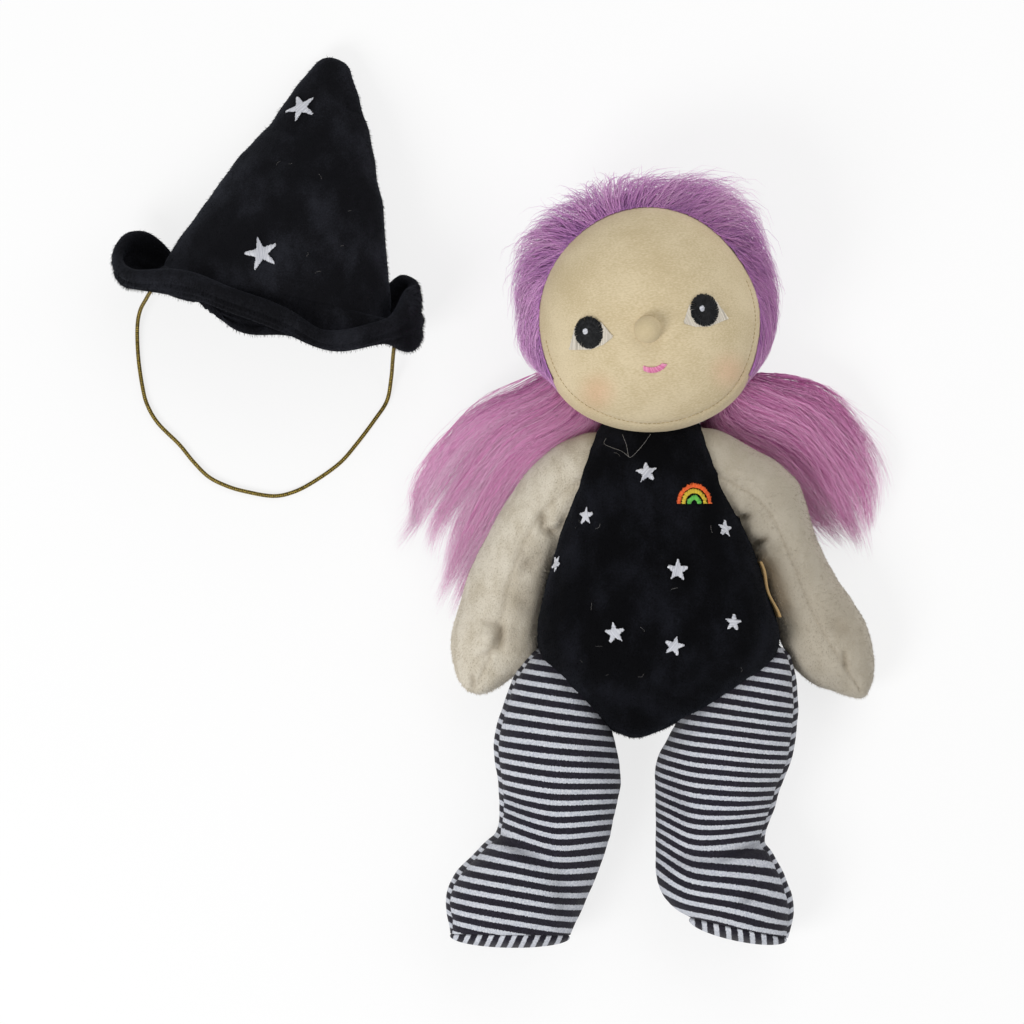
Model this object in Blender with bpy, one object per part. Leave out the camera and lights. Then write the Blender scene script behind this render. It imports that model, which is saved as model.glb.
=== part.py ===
"""A sewn witch doll, lying on its back with its face up, and its velour hat beside it.

Every stuffed piece is described by its ribs. A rib joins the two edges of the flat sewn shape, and has a
middle height and a half depth. The cloth cover of a piece is cut in two panels that meet at a seam, with
the stuffing inside them. Where two pieces are sewn together, one is cut back to the other's surface.
Left and right are the doll's own. X runs to the doll's left, Y to the crown of its head, Z up from its back.
"""

import math

import bmesh
import bpy
import numpy as np
from mathutils import Matrix, Vector
from mathutils.bvhtree import BVHTree

MM = 0.001

# Cloth and sewing
CLOTH = 1.2 * MM
SEAM_GAP = 0.3 * MM
FILL_GAP = 0.8 * MM
THREAD_LIFT = 0.45 * MM
THREAD_THICK = 0.5 * MM

# Head, an oblate ball that tilts towards the doll's right
HEAD_CENTRE = Vector((-3.5 * MM, 84.5 * MM, 35.0 * MM))
HEAD_HALF_WIDTH = 36.6 * MM
HEAD_HALF_DEPTH = 31.0 * MM
HEAD_TILT = math.radians(11)
FACE_SEAM_ANGLE = math.radians(68)

# Wig cap of short pile round the back of the head
WIG_PILE = 7.0 * MM
WIG_GAP = 0.6 * MM
WIG_SHIFT = Vector((-1.2 * MM, 2.4 * MM, 0.0))
WIG_EDGE_ANGLE = math.radians(76)
NAPE_DROP = 20.5 * MM

# Face. The eyes and the mouth keep their share of the head's half width.
NOSE_RADIUS = 4.5 * MM
NOSE_PLACE = (-0.7 * MM, -2.2 * MM)
NOSE_STAND = 1.4 * MM
EYE_SPACING = 1.038 * HEAD_HALF_WIDTH
EYE_MIDDLE = -1.0 * MM
EYE_HEIGHT = -0.5 * MM
WHITE_HALF_LENGTH = 7.2 * MM
WHITE_DROP = 5.4 * MM
WHITE_RISE = 2.4 * MM
PUPIL_HALF_WIDTH = 4.4 * MM
PUPIL_HALF_HEIGHT = 5.1 * MM
GLINT_RADIUS = 0.9 * MM
GLINT_PLACE = (-0.5 * MM, 0.8 * MM)
MOUTH_PLACE = (-0.03 * HEAD_HALF_WIDTH, -0.434 * HEAD_HALF_WIDTH)
MOUTH_RADIUS = 5.4 * MM
MOUTH_SWEEP = math.radians(80)
MOUTH_THICK = 1.5 * MM

# Ribs: x and y of the edge to the doll's right, x and y of the edge to its left, middle height, half depth.
# The first rib of each list is the end that is hidden in a neighbour, or the top.
TORSO_RIBS = (
    (-2.3, 58.9, -2.3, 58.9, 24.0, 0.0),
    (-14.5, 55.5, 10.0, 55.5, 24.0, 10.0),
    (-20.1, 48.5, 14.6, 48.5, 24.0, 14.0),
    (-26.8, 35.6, 20.1, 35.6, 23.5, 19.0),
    (-32.7, 16.2, 28.1, 16.2, 22.5, 23.0),
    (-37.2, -3.2, 34.6, -3.2, 23.5, 25.0),
    (-39.5, -16.2, 38.8, -16.2, 23.5, 25.0),
    (-38.0, -25.0, 37.2, -24.3, 22.5, 24.0),
    (-32.6, -32.3, 29.1, -32.3, 21.0, 22.0),
    (-25.4, -40.4, 16.8, -40.4, 18.5, 18.0),
    (-18.2, -46.6, 1.6, -46.6, 17.0, 12.0),
    (-9.7, -50.5, -9.7, -50.5, 16.0, 0.0),
)
ARM_RIBS_RIGHT = (
    (-6.5, 35.6, -6.5, 35.6, 24.0, 0.0),
    (-14.6, 45.9, -8.1, 30.4, 24.0, 9.0),
    (-31.4, 42.4, -19.1, 21.0, 22.5, 12.0),
    (-46.1, 30.6, -29.6, 13.4, 20.0, 12.0),
    (-57.4, 11.2, -37.0, 1.7, 17.0, 11.0),
    (-64.4, -6.6, -40.4, -12.8, 14.0, 12.0),
    (-67.6, -19.4, -43.0, -25.9, 12.0, 12.5),
    (-66.0, -30.4, -50.5, -33.6, 11.0, 9.5),
    (-59.8, -36.9, -59.8, -36.9, 11.0, 0.0),
)
ARM_RIBS_LEFT = (
    (4.2, 30.3, 4.2, 30.3, 24.0, 0.0),
    (4.8, 31.0, 10.0, 46.1, 24.0, 9.0),
    (14.2, 21.3, 27.8, 43.3, 22.5, 12.0),
    (25.1, 13.7, 43.4, 32.8, 20.0, 12.0),
    (33.0, 2.1, 51.7, 10.8, 17.0, 11.0),
    (39.1, -16.2, 61.1, -5.2, 14.0, 12.0),
    (47.2, -30.4, 68.6, -18.1, 12.0, 12.5),
    (57.2, -36.2, 69.5, -30.4, 11.0, 8.5),
    (66.0, -38.5, 66.0, -38.5, 11.0, 0.0),
)
LEG_RIBS_RIGHT = (
    (-30.4, -17.5, -30.4, -17.5, 18.0, 0.0),
    (-37.2, -20.1, -22.0, -22.0, 18.0, 8.0),
    (-43.0, -25.2, -17.5, -28.5, 17.0, 12.0),
    (-48.5, -34.0, -15.2, -38.8, 16.0, 15.0),
    (-52.7, -46.9, -14.9, -50.1, 16.0, 17.0),
    (-53.4, -59.8, -12.6, -63.1, 16.0, 17.5),
    (-52.1, -71.1, -13.9, -72.8, 15.5, 16.5),
    (-52.7, -80.2, -15.8, -83.4, 15.0, 16.0),
    (-58.9, -87.3, -18.4, -91.2, 15.0, 16.0),
    (-66.3, -94.8, -20.7, -97.0, 15.0, 16.0),
    (-69.5, -104.1, -24.6, -105.1, 15.0, 16.0),
    (-68.0, -114.5, -29.1, -115.1, 14.5, 14.5),
)
LEG_RIBS_LEFT = (
    (29.8, -18.1, 29.8, -18.1, 18.0, 0.0),
    (21.0, -22.6, 38.2, -20.1, 18.0, 8.0),
    (12.9, -30.7, 43.0, -25.9, 17.0, 12.0),
    (7.1, -40.4, 44.6, -35.6, 16.0, 15.0),
    (2.6, -51.1, 44.3, -46.9, 16.0, 17.0),
    (-1.3, -61.4, 42.0, -59.8, 16.0, 17.5),
    (-1.3, -74.4, 37.5, -72.8, 15.5, 16.5),
    (-1.3, -85.7, 34.3, -82.8, 15.0, 16.0),
    (-1.3, -94.4, 37.5, -90.6, 15.0, 16.0),
    (-0.3, -100.9, 41.4, -98.6, 15.0, 16.0),
    (3.9, -106.1, 43.3, -106.7, 15.0, 16.0),
    (9.7, -109.3, 41.4, -116.0, 14.5, 14.5),
)
BUNCH_RIBS_RIGHT = (
    (-31.6, 66.0, -31.6, 66.0, 18.0, 0.0),
    (-37.2, 67.3, -26.5, 57.0, 17.0, 6.0),
    (-45.9, 63.4, -26.5, 43.7, 13.0, 8.5),
    (-58.2, 57.6, -36.2, 33.0, 9.0, 9.0),
    (-68.6, 45.9, -46.9, 19.4, 7.0, 7.5),
    (-77.6, 29.1, -57.6, 4.5, 6.0, 6.5),
    (-79.5, 17.8, -65.3, -7.8, 4.5, 4.5),
    (-76.4, 2.6, -76.4, 2.6, 3.0, 0.0),
)
BUNCH_RIBS_LEFT = (
    (26.4, 65.4, 26.4, 65.4, 18.0, 0.0),
    (20.5, 57.0, 31.0, 66.6, 17.0, 6.0),
    (21.3, 45.3, 42.0, 65.3, 13.0, 8.5),
    (32.3, 35.6, 55.0, 60.8, 9.0, 9.0),
    (43.7, 22.6, 65.3, 50.1, 7.0, 7.5),
    (51.1, 11.3, 73.7, 36.2, 6.0, 6.5),
    (57.6, 5.8, 74.5, 22.0, 4.5, 4.5),
    (69.3, 10.3, 69.3, 10.3, 3.0, 0.0),
)

# How round a piece is across: 2 is an ellipse, more is boxier
TORSO_ROUNDNESS = 2.4
LIMB_ROUNDNESS = 2.1
HAT_ROUNDNESS = 2.0

# Embroidery on the chest: x, y, radius and turn of each star
STARS = (
    (-4.5, 34.7, 3.4, 6.0),
    (-23.8, 20.7, 2.8, -4.0),
    (20.4, 16.5, 2.8, 2.0),
    (-33.2, 5.2, 2.7, 20.0),
    (5.3, 3.2, 3.6, -2.0),
    (-14.8, -16.9, 3.4, 8.0),
    (23.2, -13.5, 2.9, -8.0),
    (4.2, -21.0, 3.4, -14.0),
)
STAR_WAIST = 0.42
RAINBOW_CENTRE = (10.7 * MM, 24.7 * MM)
RAINBOW_BANDS = (
    ("orange", 5.7 * MM, 4.5 * MM),
    ("yellow", 3.9 * MM, 2.7 * MM),
    ("green", 2.2 * MM, 1.1 * MM),
)

# Plain woven tab in the side seam
TAB_LENGTH = 18.0 * MM
TAB_HEIGHT = 6.5 * MM
TAB_THICK = 1.0 * MM
TAB_MIDDLE_Y = -3.0 * MM
TAB_ROOT_HEIGHT = 24.5 * MM

# Hat, lying on its side with its open end towards the doll's feet. The ribs run from the tip to the mouth.
HAT_RIBS = (
    (-107.7, 168.5, -107.7, 168.5, 5.0, 0.0),
    (-113.2, 164.3, -99.9, 164.9, 5.5, 5.0),
    (-121.3, 155.2, -96.4, 154.3, 8.0, 7.8),
    (-128.7, 145.2, -93.1, 142.9, 11.0, 10.8),
    (-137.1, 136.5, -90.9, 130.0, 14.0, 13.8),
    (-144.9, 125.5, -89.3, 118.0, 17.0, 16.8),
    (-152.0, 114.5, -88.0, 105.1, 20.0, 19.8),
    (-158.5, 104.5, -87.3, 92.2, 22.0, 21.8),
    (-160.7, 100.9, -87.0, 83.4, 22.7, 22.7),
)
HAT_FELT = 1.6 * MM
HAT_STARS = (
    ("hat_star_upper", (-116.1, 152.6, 4.9, 14.0)),
    ("hat_star_lower", (-128.7, 106.1, 4.9, 16.0)),
)

# Outer edge of the brim, from the doll's left over the top: x, y and height
BRIM_EDGE = (
    (-76.6, 79.2, 17.0),
    (-80.5, 71.5, 29.0),
    (-92.0, 75.0, 37.0),
    (-108.7, 73.5, 43.0),
    (-124.5, 81.5, 47.0),
    (-146.8, 89.5, 44.0),
    (-163.0, 94.0, 36.0),
    (-175.0, 93.5, 27.0),
    (-178.0, 100.0, 16.0),
    (-173.0, 108.5, 9.5),
    (-158.0, 93.0, 4.5),
    (-139.7, 81.5, 3.0),
    (-119.7, 77.6, 3.0),
    (-98.0, 79.0, 4.0),
    (-85.5, 97.0, 8.0),
    (-78.8, 91.0, 12.0),
)
BRIM_THICK = 4.0 * MM

# Elastic: route in millimetres along its middle, from under the brim's one side to under its other
ELASTIC_RADIUS = 0.65 * MM
ELASTIC_STEP = 3.4 * MM
ELASTIC_ROUTE = (
    (-164.0, 97.4, 17.8),
    (-164.6, 94.6, 15.6),
    (-166.6, 91.3, 10.5),
    (-168.8, 87.4, 5.0),
    (-169.8, 81.8, 1.8),
    (-169.5, 72.4, 0.9),
    (-168.2, 63.1, 0.9),
    (-166.6, 56.9, 0.9),
    (-163.0, 50.8, 0.9),
    (-156.2, 44.0, 0.9),
    (-151.7, 38.5, 0.9),
    (-146.8, 33.6, 0.9),
    (-141.3, 30.7, 0.9),
    (-135.2, 28.8, 0.9),
    (-125.8, 27.2, 0.9),
    (-119.0, 28.5, 0.9),
    (-112.2, 32.0, 0.9),
    (-104.1, 37.8, 0.9),
    (-98.6, 44.0, 0.9),
    (-92.5, 52.1, 0.9),
    (-88.6, 58.2, 1.0),
    (-87.2, 65.4, 3.4),
    (-86.6, 71.6, 9.6),
    (-86.1, 76.4, 15.0),
    (-86.0, 79.8, 16.0),
)

# Faceting
PANEL_SEGMENTS = 8
TORSO_SEGMENTS = 10
BUNCH_SEGMENTS = 8
HAT_SEGMENTS = 20
BRIM_SEGMENTS = 40
HEAD_SEGMENTS = 28
HEAD_ROWS = 14
FACE_ROWS = 9
ROWS_PER_RIB = 1.1

MATERIALS = {
    "face_jersey": ((0.83, 0.74, 0.58, 1.0), 0.9),
    "skin_velour": ((0.86, 0.81, 0.70, 1.0), 0.95),
    "wig_pile": ((0.66, 0.38, 0.66, 1.0), 0.7),
    "bunch_pile": ((0.72, 0.38, 0.62, 1.0), 0.65),
    "black_velour": ((0.012, 0.013, 0.02, 1.0), 0.9),
    "striped_jersey": ((0.40, 0.39, 0.46, 1.0), 0.9),
    "fibre_filling": ((0.93, 0.93, 0.92, 1.0), 1.0),
    "black_thread": ((0.02, 0.02, 0.025, 1.0), 0.6),
    "white_thread": ((0.85, 0.85, 0.87, 1.0), 0.5),
    "pink_thread": ((0.80, 0.40, 0.52, 1.0), 0.5),
    "orange_thread": ((0.90, 0.30, 0.06, 1.0), 0.5),
    "yellow_thread": ((0.80, 0.68, 0.12, 1.0), 0.5),
    "green_thread": ((0.22, 0.66, 0.22, 1.0), 0.5),
    "tan_ribbon": ((0.70, 0.56, 0.33, 1.0), 0.8),
    "gold_elastic": ((0.45, 0.36, 0.10, 1.0), 0.4),
}


def clear_scene():
    for old in list(bpy.data.objects):
        bpy.data.objects.remove(old)


def material(name):
    """The Principled material of that name, made once."""
    made = bpy.data.materials.get(name)
    if made is None:
        colour, roughness = MATERIALS[name]
        made = bpy.data.materials.new(name)
        made.use_nodes = True
        shader = made.node_tree.nodes["Principled BSDF"]
        shader.inputs["Base Color"].default_value = colour
        shader.inputs["Roughness"].default_value = roughness
    return made


def add_object(name, points, faces, finish):
    """A smooth mesh object from points and faces, with coincident points made one."""
    mesh = bpy.data.meshes.new(name)
    mesh.from_pydata([tuple(p) for p in points], [], faces)
    weld(mesh)
    mesh.shade_smooth()
    mesh.set_sharp_from_angle(angle=math.radians(50))
    obj = bpy.data.objects.new(name, mesh)
    bpy.context.scene.collection.objects.link(obj)
    obj.data.materials.append(material(finish))
    return obj


def weld(mesh):
    """Merges coincident points, which drops the empty faces at a pole, and turns the faces outwards."""
    shape = bmesh.new()
    shape.from_mesh(mesh)
    bmesh.ops.remove_doubles(shape, verts=shape.verts, dist=1e-6)
    bmesh.ops.recalc_face_normals(shape, faces=shape.faces)
    shape.to_mesh(mesh)
    shape.free()


def add_cutter(name, points, faces):
    """A hidden closed shape that other pieces are cut back to."""
    cutter = add_object(name, points, faces, "fibre_filling")
    cutter.hide_render = True
    cutter.display_type = "WIRE"
    return cutter


def cut_back(obj, cutters):
    for cutter in cutters:
        cut = obj.modifiers.new("cut_to_" + cutter.name, "BOOLEAN")
        cut.operation = "DIFFERENCE"
        cut.solver = "EXACT"
        cut.object = cutter


def spline(values, place):
    """The value at place along a smooth curve through evenly spaced values."""
    last = len(values) - 1
    k = min(int(place), last - 1)
    t = place - k
    before = values[max(k - 1, 0)]
    start = values[k]
    end = values[k + 1]
    after = values[min(k + 2, last)]
    return 0.5 * (
        2 * start
        + (end - before) * t
        + (2 * before - 5 * start + 4 * end - after) * t * t
        + (3 * start - before - 3 * end + after) * t**3
    )


def sampled_ribs(ribs):
    """Ribs at evenly spread places, closer together at the two ends, in metres."""
    given = [np.array(rib, float) * MM for rib in ribs]
    count = int(round(len(ribs) * ROWS_PER_RIB))
    places = []
    for k in range(count + 1):
        share = k / count
        eased = 0.5 - 0.5 * math.cos(math.pi * share)
        places.append((0.75 * share + 0.25 * eased) * (len(ribs) - 1))
    rows = [spline(given, place) for place in places]
    for row in rows:
        row[5] = max(row[5], 0.0)
    rows[0][5] = given[0][5]
    rows[-1][5] = given[-1][5]
    return rows


def pouch(ribs, around, roundness):
    """Surface points of a stuffed piece, one ring for each row, as an array of rows, places around and xyz."""
    rings = []
    power = 2.0 / roundness
    for row in sampled_ribs(ribs):
        right = np.array((row[0], row[1], row[4]))
        left = np.array((row[2], row[3], row[4]))
        middle = (right + left) / 2
        half = (left - right) / 2
        ring = []
        for k in range(around):
            angle = 2 * math.pi * k / around
            across = math.copysign(abs(math.cos(angle)) ** power, math.cos(angle))
            up = math.copysign(abs(math.sin(angle)) ** power, math.sin(angle))
            ring.append(middle + half * across + np.array((0.0, 0.0, row[5] * up)))
        rings.append(ring)
    return np.array(rings)


def normals_of(rings):
    """Outward unit normals of a pouch's points."""
    along = np.gradient(rings, axis=0)
    round_it = np.roll(rings, -1, axis=1) - np.roll(rings, 1, axis=1)
    normal = np.cross(round_it, along)
    centre = rings.mean(axis=1, keepdims=True)
    size = np.linalg.norm(normal, axis=2, keepdims=True)
    normal = normal / np.maximum(size, 1e-12)
    if (normal * (rings - centre)).sum() < 0:
        normal = -normal
    for end, inside in ((0, 1), (-1, -2)):
        if np.ptp(rings[end], axis=0).max() < 1e-6:
            axis = rings[end].mean(axis=0) - rings[inside].mean(axis=0)
            normal[end] = axis / np.linalg.norm(axis)
    return normal


def offset(rings, distance):
    """The pouch grown by distance, or shrunk if it is negative, and flat where it lies on its back."""
    moved = rings + normals_of(rings) * distance
    moved[:, :, 2] = np.maximum(moved[:, :, 2], -distance)
    return moved


def shell_faces(rows, columns, closed):
    """Quads of a grid whose columns may close into a ring."""
    faces = []
    for r in range(rows - 1):
        for c in range(columns if closed else columns - 1):
            d = (c + 1) % columns
            faces.append((r * columns + c, r * columns + d, (r + 1) * columns + d, (r + 1) * columns + c))
    return faces


def closed_pouch(rings):
    """Points and faces of a pouch closed at both ends."""
    rows, columns = rings.shape[:2]
    points = list(rings.reshape(-1, 3))
    faces = shell_faces(rows, columns, True)
    for row in (0, rows - 1):
        if np.ptp(rings[row], axis=0).max() > 1e-6:
            faces.append(tuple(row * columns + c for c in range(columns)))
    return points, faces


def panel(rings, first, last, seam_axis):
    """Points and faces of one cloth panel: the columns from first to last, CLOTH thick, held off the seam."""
    columns = [c % rings.shape[1] for c in range(first, last + 1)]
    outer = offset(rings, 0.0)[:, columns]
    inner = offset(rings, -CLOTH)[:, columns]
    middle = outer[:, len(columns) // 2] - (outer[:, 0] + outer[:, -1]) / 2
    for layer in (outer, inner):
        for edge in (0, -1):
            step = middle if seam_axis is None else np.sign(middle @ seam_axis)[:, None] * seam_axis
            size = np.maximum(np.linalg.norm(step, axis=1, keepdims=True), 1e-9)
            layer[:, edge] += step / size * SEAM_GAP / 2
    for layer in (outer, inner):
        for end, inside in ((0, 1), (-1, -2)):
            if np.ptp(layer[end], axis=0).max() < SEAM_GAP:
                lean = layer[inside].mean(axis=0) - layer[inside][[0, -1]].mean(axis=0)
                layer[end] = layer[end].mean(axis=0)
                layer[end] += lean / max(np.linalg.norm(lean), 1e-9) * SEAM_GAP / 2
    rows, count = outer.shape[:2]
    points = list(outer.reshape(-1, 3)) + list(inner.reshape(-1, 3))
    shift = rows * count
    faces = shell_faces(rows, count, False)
    faces += [tuple(i + shift for i in reversed(f)) for f in faces]
    rim = [r * count for r in range(rows)]
    rim += [(rows - 1) * count + c for c in range(1, count)]
    rim += [r * count + count - 1 for r in range(rows - 2, -1, -1)]
    rim += list(range(count - 2, 0, -1))
    for a, b in zip(rim, rim[1:] + rim[:1]):
        faces.append((a, b, b + shift, a + shift))
    return points, faces


def sewn_piece(name, ribs, segments, roundness, finish, cutters, halves=("front", "back")):
    """Two cloth panels and their stuffing. The seam runs along the edges, or down the middle of the front and
    back where the halves are named inner and outer, with the half to the doll's left first."""
    rings = pouch(ribs, 2 * segments, roundness)
    if "front" in halves:
        start = 0
        seam_axis = np.array((0.0, 0.0, 1.0))
    else:
        start = segments // 2 + segments
        seam_axis = None
    made = []
    for number, half in enumerate(halves):
        first = start + number * segments
        shape = panel(rings, first, first + segments, seam_axis)
        made.append(add_object(f"{name}_{half}_panel", *shape, finish))
    filling = offset(pouch(ribs, segments, roundness), -(CLOTH + FILL_GAP))
    made.append(add_object(name + "_stuffing", *closed_pouch(filling), "fibre_filling"))
    for obj in made:
        cut_back(obj, cutters)
    return rings


def envelope(name, rings):
    """The cutter that leaves a sewing gap round a pouch."""
    return add_cutter(name, *closed_pouch(offset(rings, SEAM_GAP)))


def head_ball(extra, first_angle, last_angle, rows, centre):
    """Rings of the head's ball grown by extra, from first_angle to last_angle away from the face's middle."""
    rings = []
    for r in range(rows + 1):
        polar = first_angle + (last_angle - first_angle) * r / rows
        ring = []
        for k in range(HEAD_SEGMENTS):
            turn = 2 * math.pi * k / HEAD_SEGMENTS
            across = (HEAD_HALF_WIDTH + extra) * math.sin(polar)
            up = (HEAD_HALF_DEPTH + extra) * math.cos(polar)
            ring.append((centre.x + across * math.cos(turn), centre.y + across * math.sin(turn), centre.z + up))
        rings.append(ring)
    return np.array(rings)


def bowl(outer, inner):
    """Points and faces of a wall between two sets of rings, open at any end that isn't a pole."""
    rows, columns = outer.shape[:2]
    points = list(outer.reshape(-1, 3)) + list(inner.reshape(-1, 3))
    shift = rows * columns
    faces = shell_faces(rows, columns, True)
    faces += [tuple(i + shift for i in reversed(f)) for f in faces]
    for row in (0, rows - 1):
        if np.ptp(outer[row], axis=0).max() < 1e-6:
            continue
        for c in range(columns):
            a = row * columns + c
            b = row * columns + (c + 1) % columns
            faces.append((a, b, b + shift, a + shift))
    return points, faces


def make_head():
    """Face panel, back panel and stuffing, with the cutter and the search tree of the whole ball."""
    half_gap = SEAM_GAP / 2 / HEAD_HALF_WIDTH
    spans = (
        ("face_panel", 0.0, FACE_SEAM_ANGLE - half_gap, FACE_ROWS, "face_jersey"),
        ("head_back_panel", FACE_SEAM_ANGLE + half_gap, math.pi, HEAD_ROWS // 2, "skin_velour"),
    )
    for name, first, last, rows, finish in spans:
        outer = head_ball(0.0, first, last, rows, HEAD_CENTRE)
        inner = head_ball(-CLOTH, first, last, rows, HEAD_CENTRE)
        add_object(name, *bowl(outer, inner), finish)
    filling = head_ball(-CLOTH - FILL_GAP, 0.0, math.pi, HEAD_ROWS, HEAD_CENTRE)
    add_object("head_stuffing", *closed_pouch(filling), "fibre_filling")
    around = closed_pouch(head_ball(SEAM_GAP, 0.0, math.pi, HEAD_ROWS, HEAD_CENTRE))
    return add_cutter("head_envelope", *around), tree_of("face_panel")


def make_wig():
    """The fur cap: a bowl round the back of the head, cut off level at the nape."""
    centre = HEAD_CENTRE + WIG_SHIFT
    rows = HEAD_ROWS // 2
    outer = head_ball(WIG_PILE, WIG_EDGE_ANGLE, math.pi, rows, centre)
    inner = head_ball(WIG_GAP, WIG_EDGE_ANGLE, math.pi, rows, HEAD_CENTRE)
    outer[:, :, 2] = np.maximum(outer[:, :, 2], 0.0)
    wig = add_object("wig_cap", *bowl(outer, inner), "wig_pile")
    reach = 2 * (HEAD_HALF_WIDTH + WIG_PILE)
    turn = Matrix.Rotation(HEAD_TILT, 4, "Z")
    corners = []
    for x in (-reach, reach):
        for y in (-NAPE_DROP - reach, -NAPE_DROP):
            for z in (-reach, reach):
                corners.append(HEAD_CENTRE + turn @ Vector((x, y, z)))
    sides = [(0, 1, 3, 2), (4, 6, 7, 5), (0, 4, 5, 1), (2, 3, 7, 6), (0, 2, 6, 4), (1, 5, 7, 3)]
    cut_back(wig, [add_cutter("nape_cut", corners, sides)])
    return wig_cutter(centre)


def wig_cutter(centre):
    """The cutter that leaves a sewing gap round the wig cap."""
    rings = head_ball(WIG_PILE + SEAM_GAP, 0.0, math.pi, HEAD_ROWS, centre)
    rings[:, :, 2] = np.maximum(rings[:, :, 2], -SEAM_GAP)
    return add_cutter("wig_envelope", *closed_pouch(rings))


def tree_of(*names):
    """A search tree of the named meshes, for laying embroidery on them."""
    points = []
    faces = []
    for name in names:
        mesh = bpy.data.objects[name].data
        start = len(points)
        points += [v.co.copy() for v in mesh.vertices]
        faces += [tuple(i + start for i in p.vertices) for p in mesh.polygons]
    return BVHTree.FromPolygons(points, faces)


def height_at(tree, x, y):
    """The height of the surface over (x, y)."""
    hit = tree.ray_cast(Vector((x, y, 1.0)), Vector((0.0, 0.0, -1.0)))
    return hit[0].z if hit[0] else 0.0


def seen_from_above(tree, spots):
    """The places on the surface straight under the spots, and the direction up from it for each."""
    places = [Vector((x, y, height_at(tree, x, y))) for x, y in spots]
    return places, [Vector((0.0, 0.0, 1.0))] * len(spots)


def wrapped_round(tree, spots):
    """The places that the spots take when their flat shape is wrapped on the surface at the first of them."""
    centre, up = tree.ray_cast(Vector((*spots[0], 1.0)), Vector((0.0, 0.0, -1.0)))[:2]
    across = (Vector((1.0, 0.0, 0.0)) - up * up.x).normalized()
    along = up.cross(across)
    places = []
    normals = []
    for x, y in spots:
        flat = centre + across * (x - spots[0][0]) + along * (y - spots[0][1]) + up * MM
        place, normal = tree.find_nearest(flat)[:2]
        places.append(place)
        normals.append(normal)
    return places, normals


def patch(name, outline, tree, lift, finish, rings=1, lay=seen_from_above):
    """Embroidery: a thin plate of that outline that follows the surface under it, lift above it."""
    flat = np.array(outline)
    middle = flat.mean(axis=0)
    layers = [middle + (flat - middle) * (r + 1) / rings for r in range(rings)]
    spots = [tuple(middle)] + [tuple(p) for layer in layers for p in layer]
    count = len(outline)
    faces = []
    for k in range(count):
        after = (k + 1) % count
        faces.append((0, 1 + k, 1 + after))
        for r in range(rings - 1):
            a = 1 + r * count
            b = a + count
            faces.append((a + k, b + k, b + after, a + after))
    places, ups = lay(tree, spots)
    low = [place + up * lift for place, up in zip(places, ups)]
    high = [place + up * (lift + THREAD_THICK) for place, up in zip(places, ups)]
    shift = len(spots)
    faces += [tuple(i + shift for i in reversed(f)) for f in faces]
    edge = 1 + (rings - 1) * count
    for k in range(count):
        a = edge + k
        b = edge + (k + 1) % count
        faces.append((a, b, b + shift, a + shift))
    return add_object(name, low + high, faces, finish)


def on_face(x, y):
    """A point of the level face, turned with the head."""
    turned = Matrix.Rotation(HEAD_TILT, 2) @ Vector((x, y))
    return HEAD_CENTRE.x + turned.x, HEAD_CENTRE.y + turned.y


def make_face(face_tree, head_envelope):
    """Nose, embroidered eyes and mouth."""
    x, y = on_face(*NOSE_PLACE)
    height = height_at(face_tree, x, y) + NOSE_STAND
    nose_rings = []
    for r in range(9):
        polar = math.pi * r / 8
        nose_rings.append(
            [
                (
                    x + NOSE_RADIUS * math.sin(polar) * math.cos(2 * math.pi * k / 16),
                    y + NOSE_RADIUS * math.sin(polar) * math.sin(2 * math.pi * k / 16),
                    height + NOSE_RADIUS * math.cos(polar),
                )
                for k in range(16)
            ]
        )
    nose = add_object("nose", *closed_pouch(np.array(nose_rings)), "face_jersey")
    cut_back(nose, [head_envelope])

    step = THREAD_LIFT + THREAD_THICK
    for side, sign in (("right", -1), ("left", 1)):
        middle = EYE_MIDDLE + sign * EYE_SPACING / 2
        white = [on_face(middle + x, EYE_HEIGHT + y) for x, y in eye_white_outline(sign)]
        pupil = []
        for k in range(16):
            turn = 2 * math.pi * k / 16
            across = PUPIL_HALF_WIDTH * math.cos(turn)
            pupil.append(on_face(middle + across, EYE_HEIGHT + PUPIL_HALF_HEIGHT * math.sin(turn)))
        glint = []
        for k in range(8):
            turn = 2 * math.pi * k / 8
            gx = middle + GLINT_PLACE[0] + GLINT_RADIUS * math.cos(turn)
            glint.append(on_face(gx, EYE_HEIGHT + GLINT_PLACE[1] + GLINT_RADIUS * math.sin(turn)))
        patch(f"eye_white_{side}", white, face_tree, THREAD_LIFT, "white_thread", 3)
        patch(f"pupil_{side}", pupil, face_tree, THREAD_LIFT + step, "black_thread", 3)
        patch(f"eye_glint_{side}", glint, face_tree, THREAD_LIFT + 2 * step, "white_thread")
    strip("mouth", *mouth_edges(), face_tree, "pink_thread")


def eye_white_outline(sign):
    """A low triangle with a drooping inner corner, its long side below."""
    return (
        (sign * WHITE_HALF_LENGTH, -WHITE_DROP * 0.75),
        (sign * WHITE_HALF_LENGTH * 0.6, WHITE_RISE),
        (0.0, WHITE_RISE * 1.4),
        (-sign * WHITE_HALF_LENGTH * 0.6, WHITE_RISE),
        (-sign * WHITE_HALF_LENGTH, -WHITE_DROP * 0.52),
        (-sign * WHITE_HALF_LENGTH / 2, -WHITE_DROP * 0.85),
        (sign * WHITE_HALF_LENGTH * 0.1, -WHITE_DROP),
    )


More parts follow.
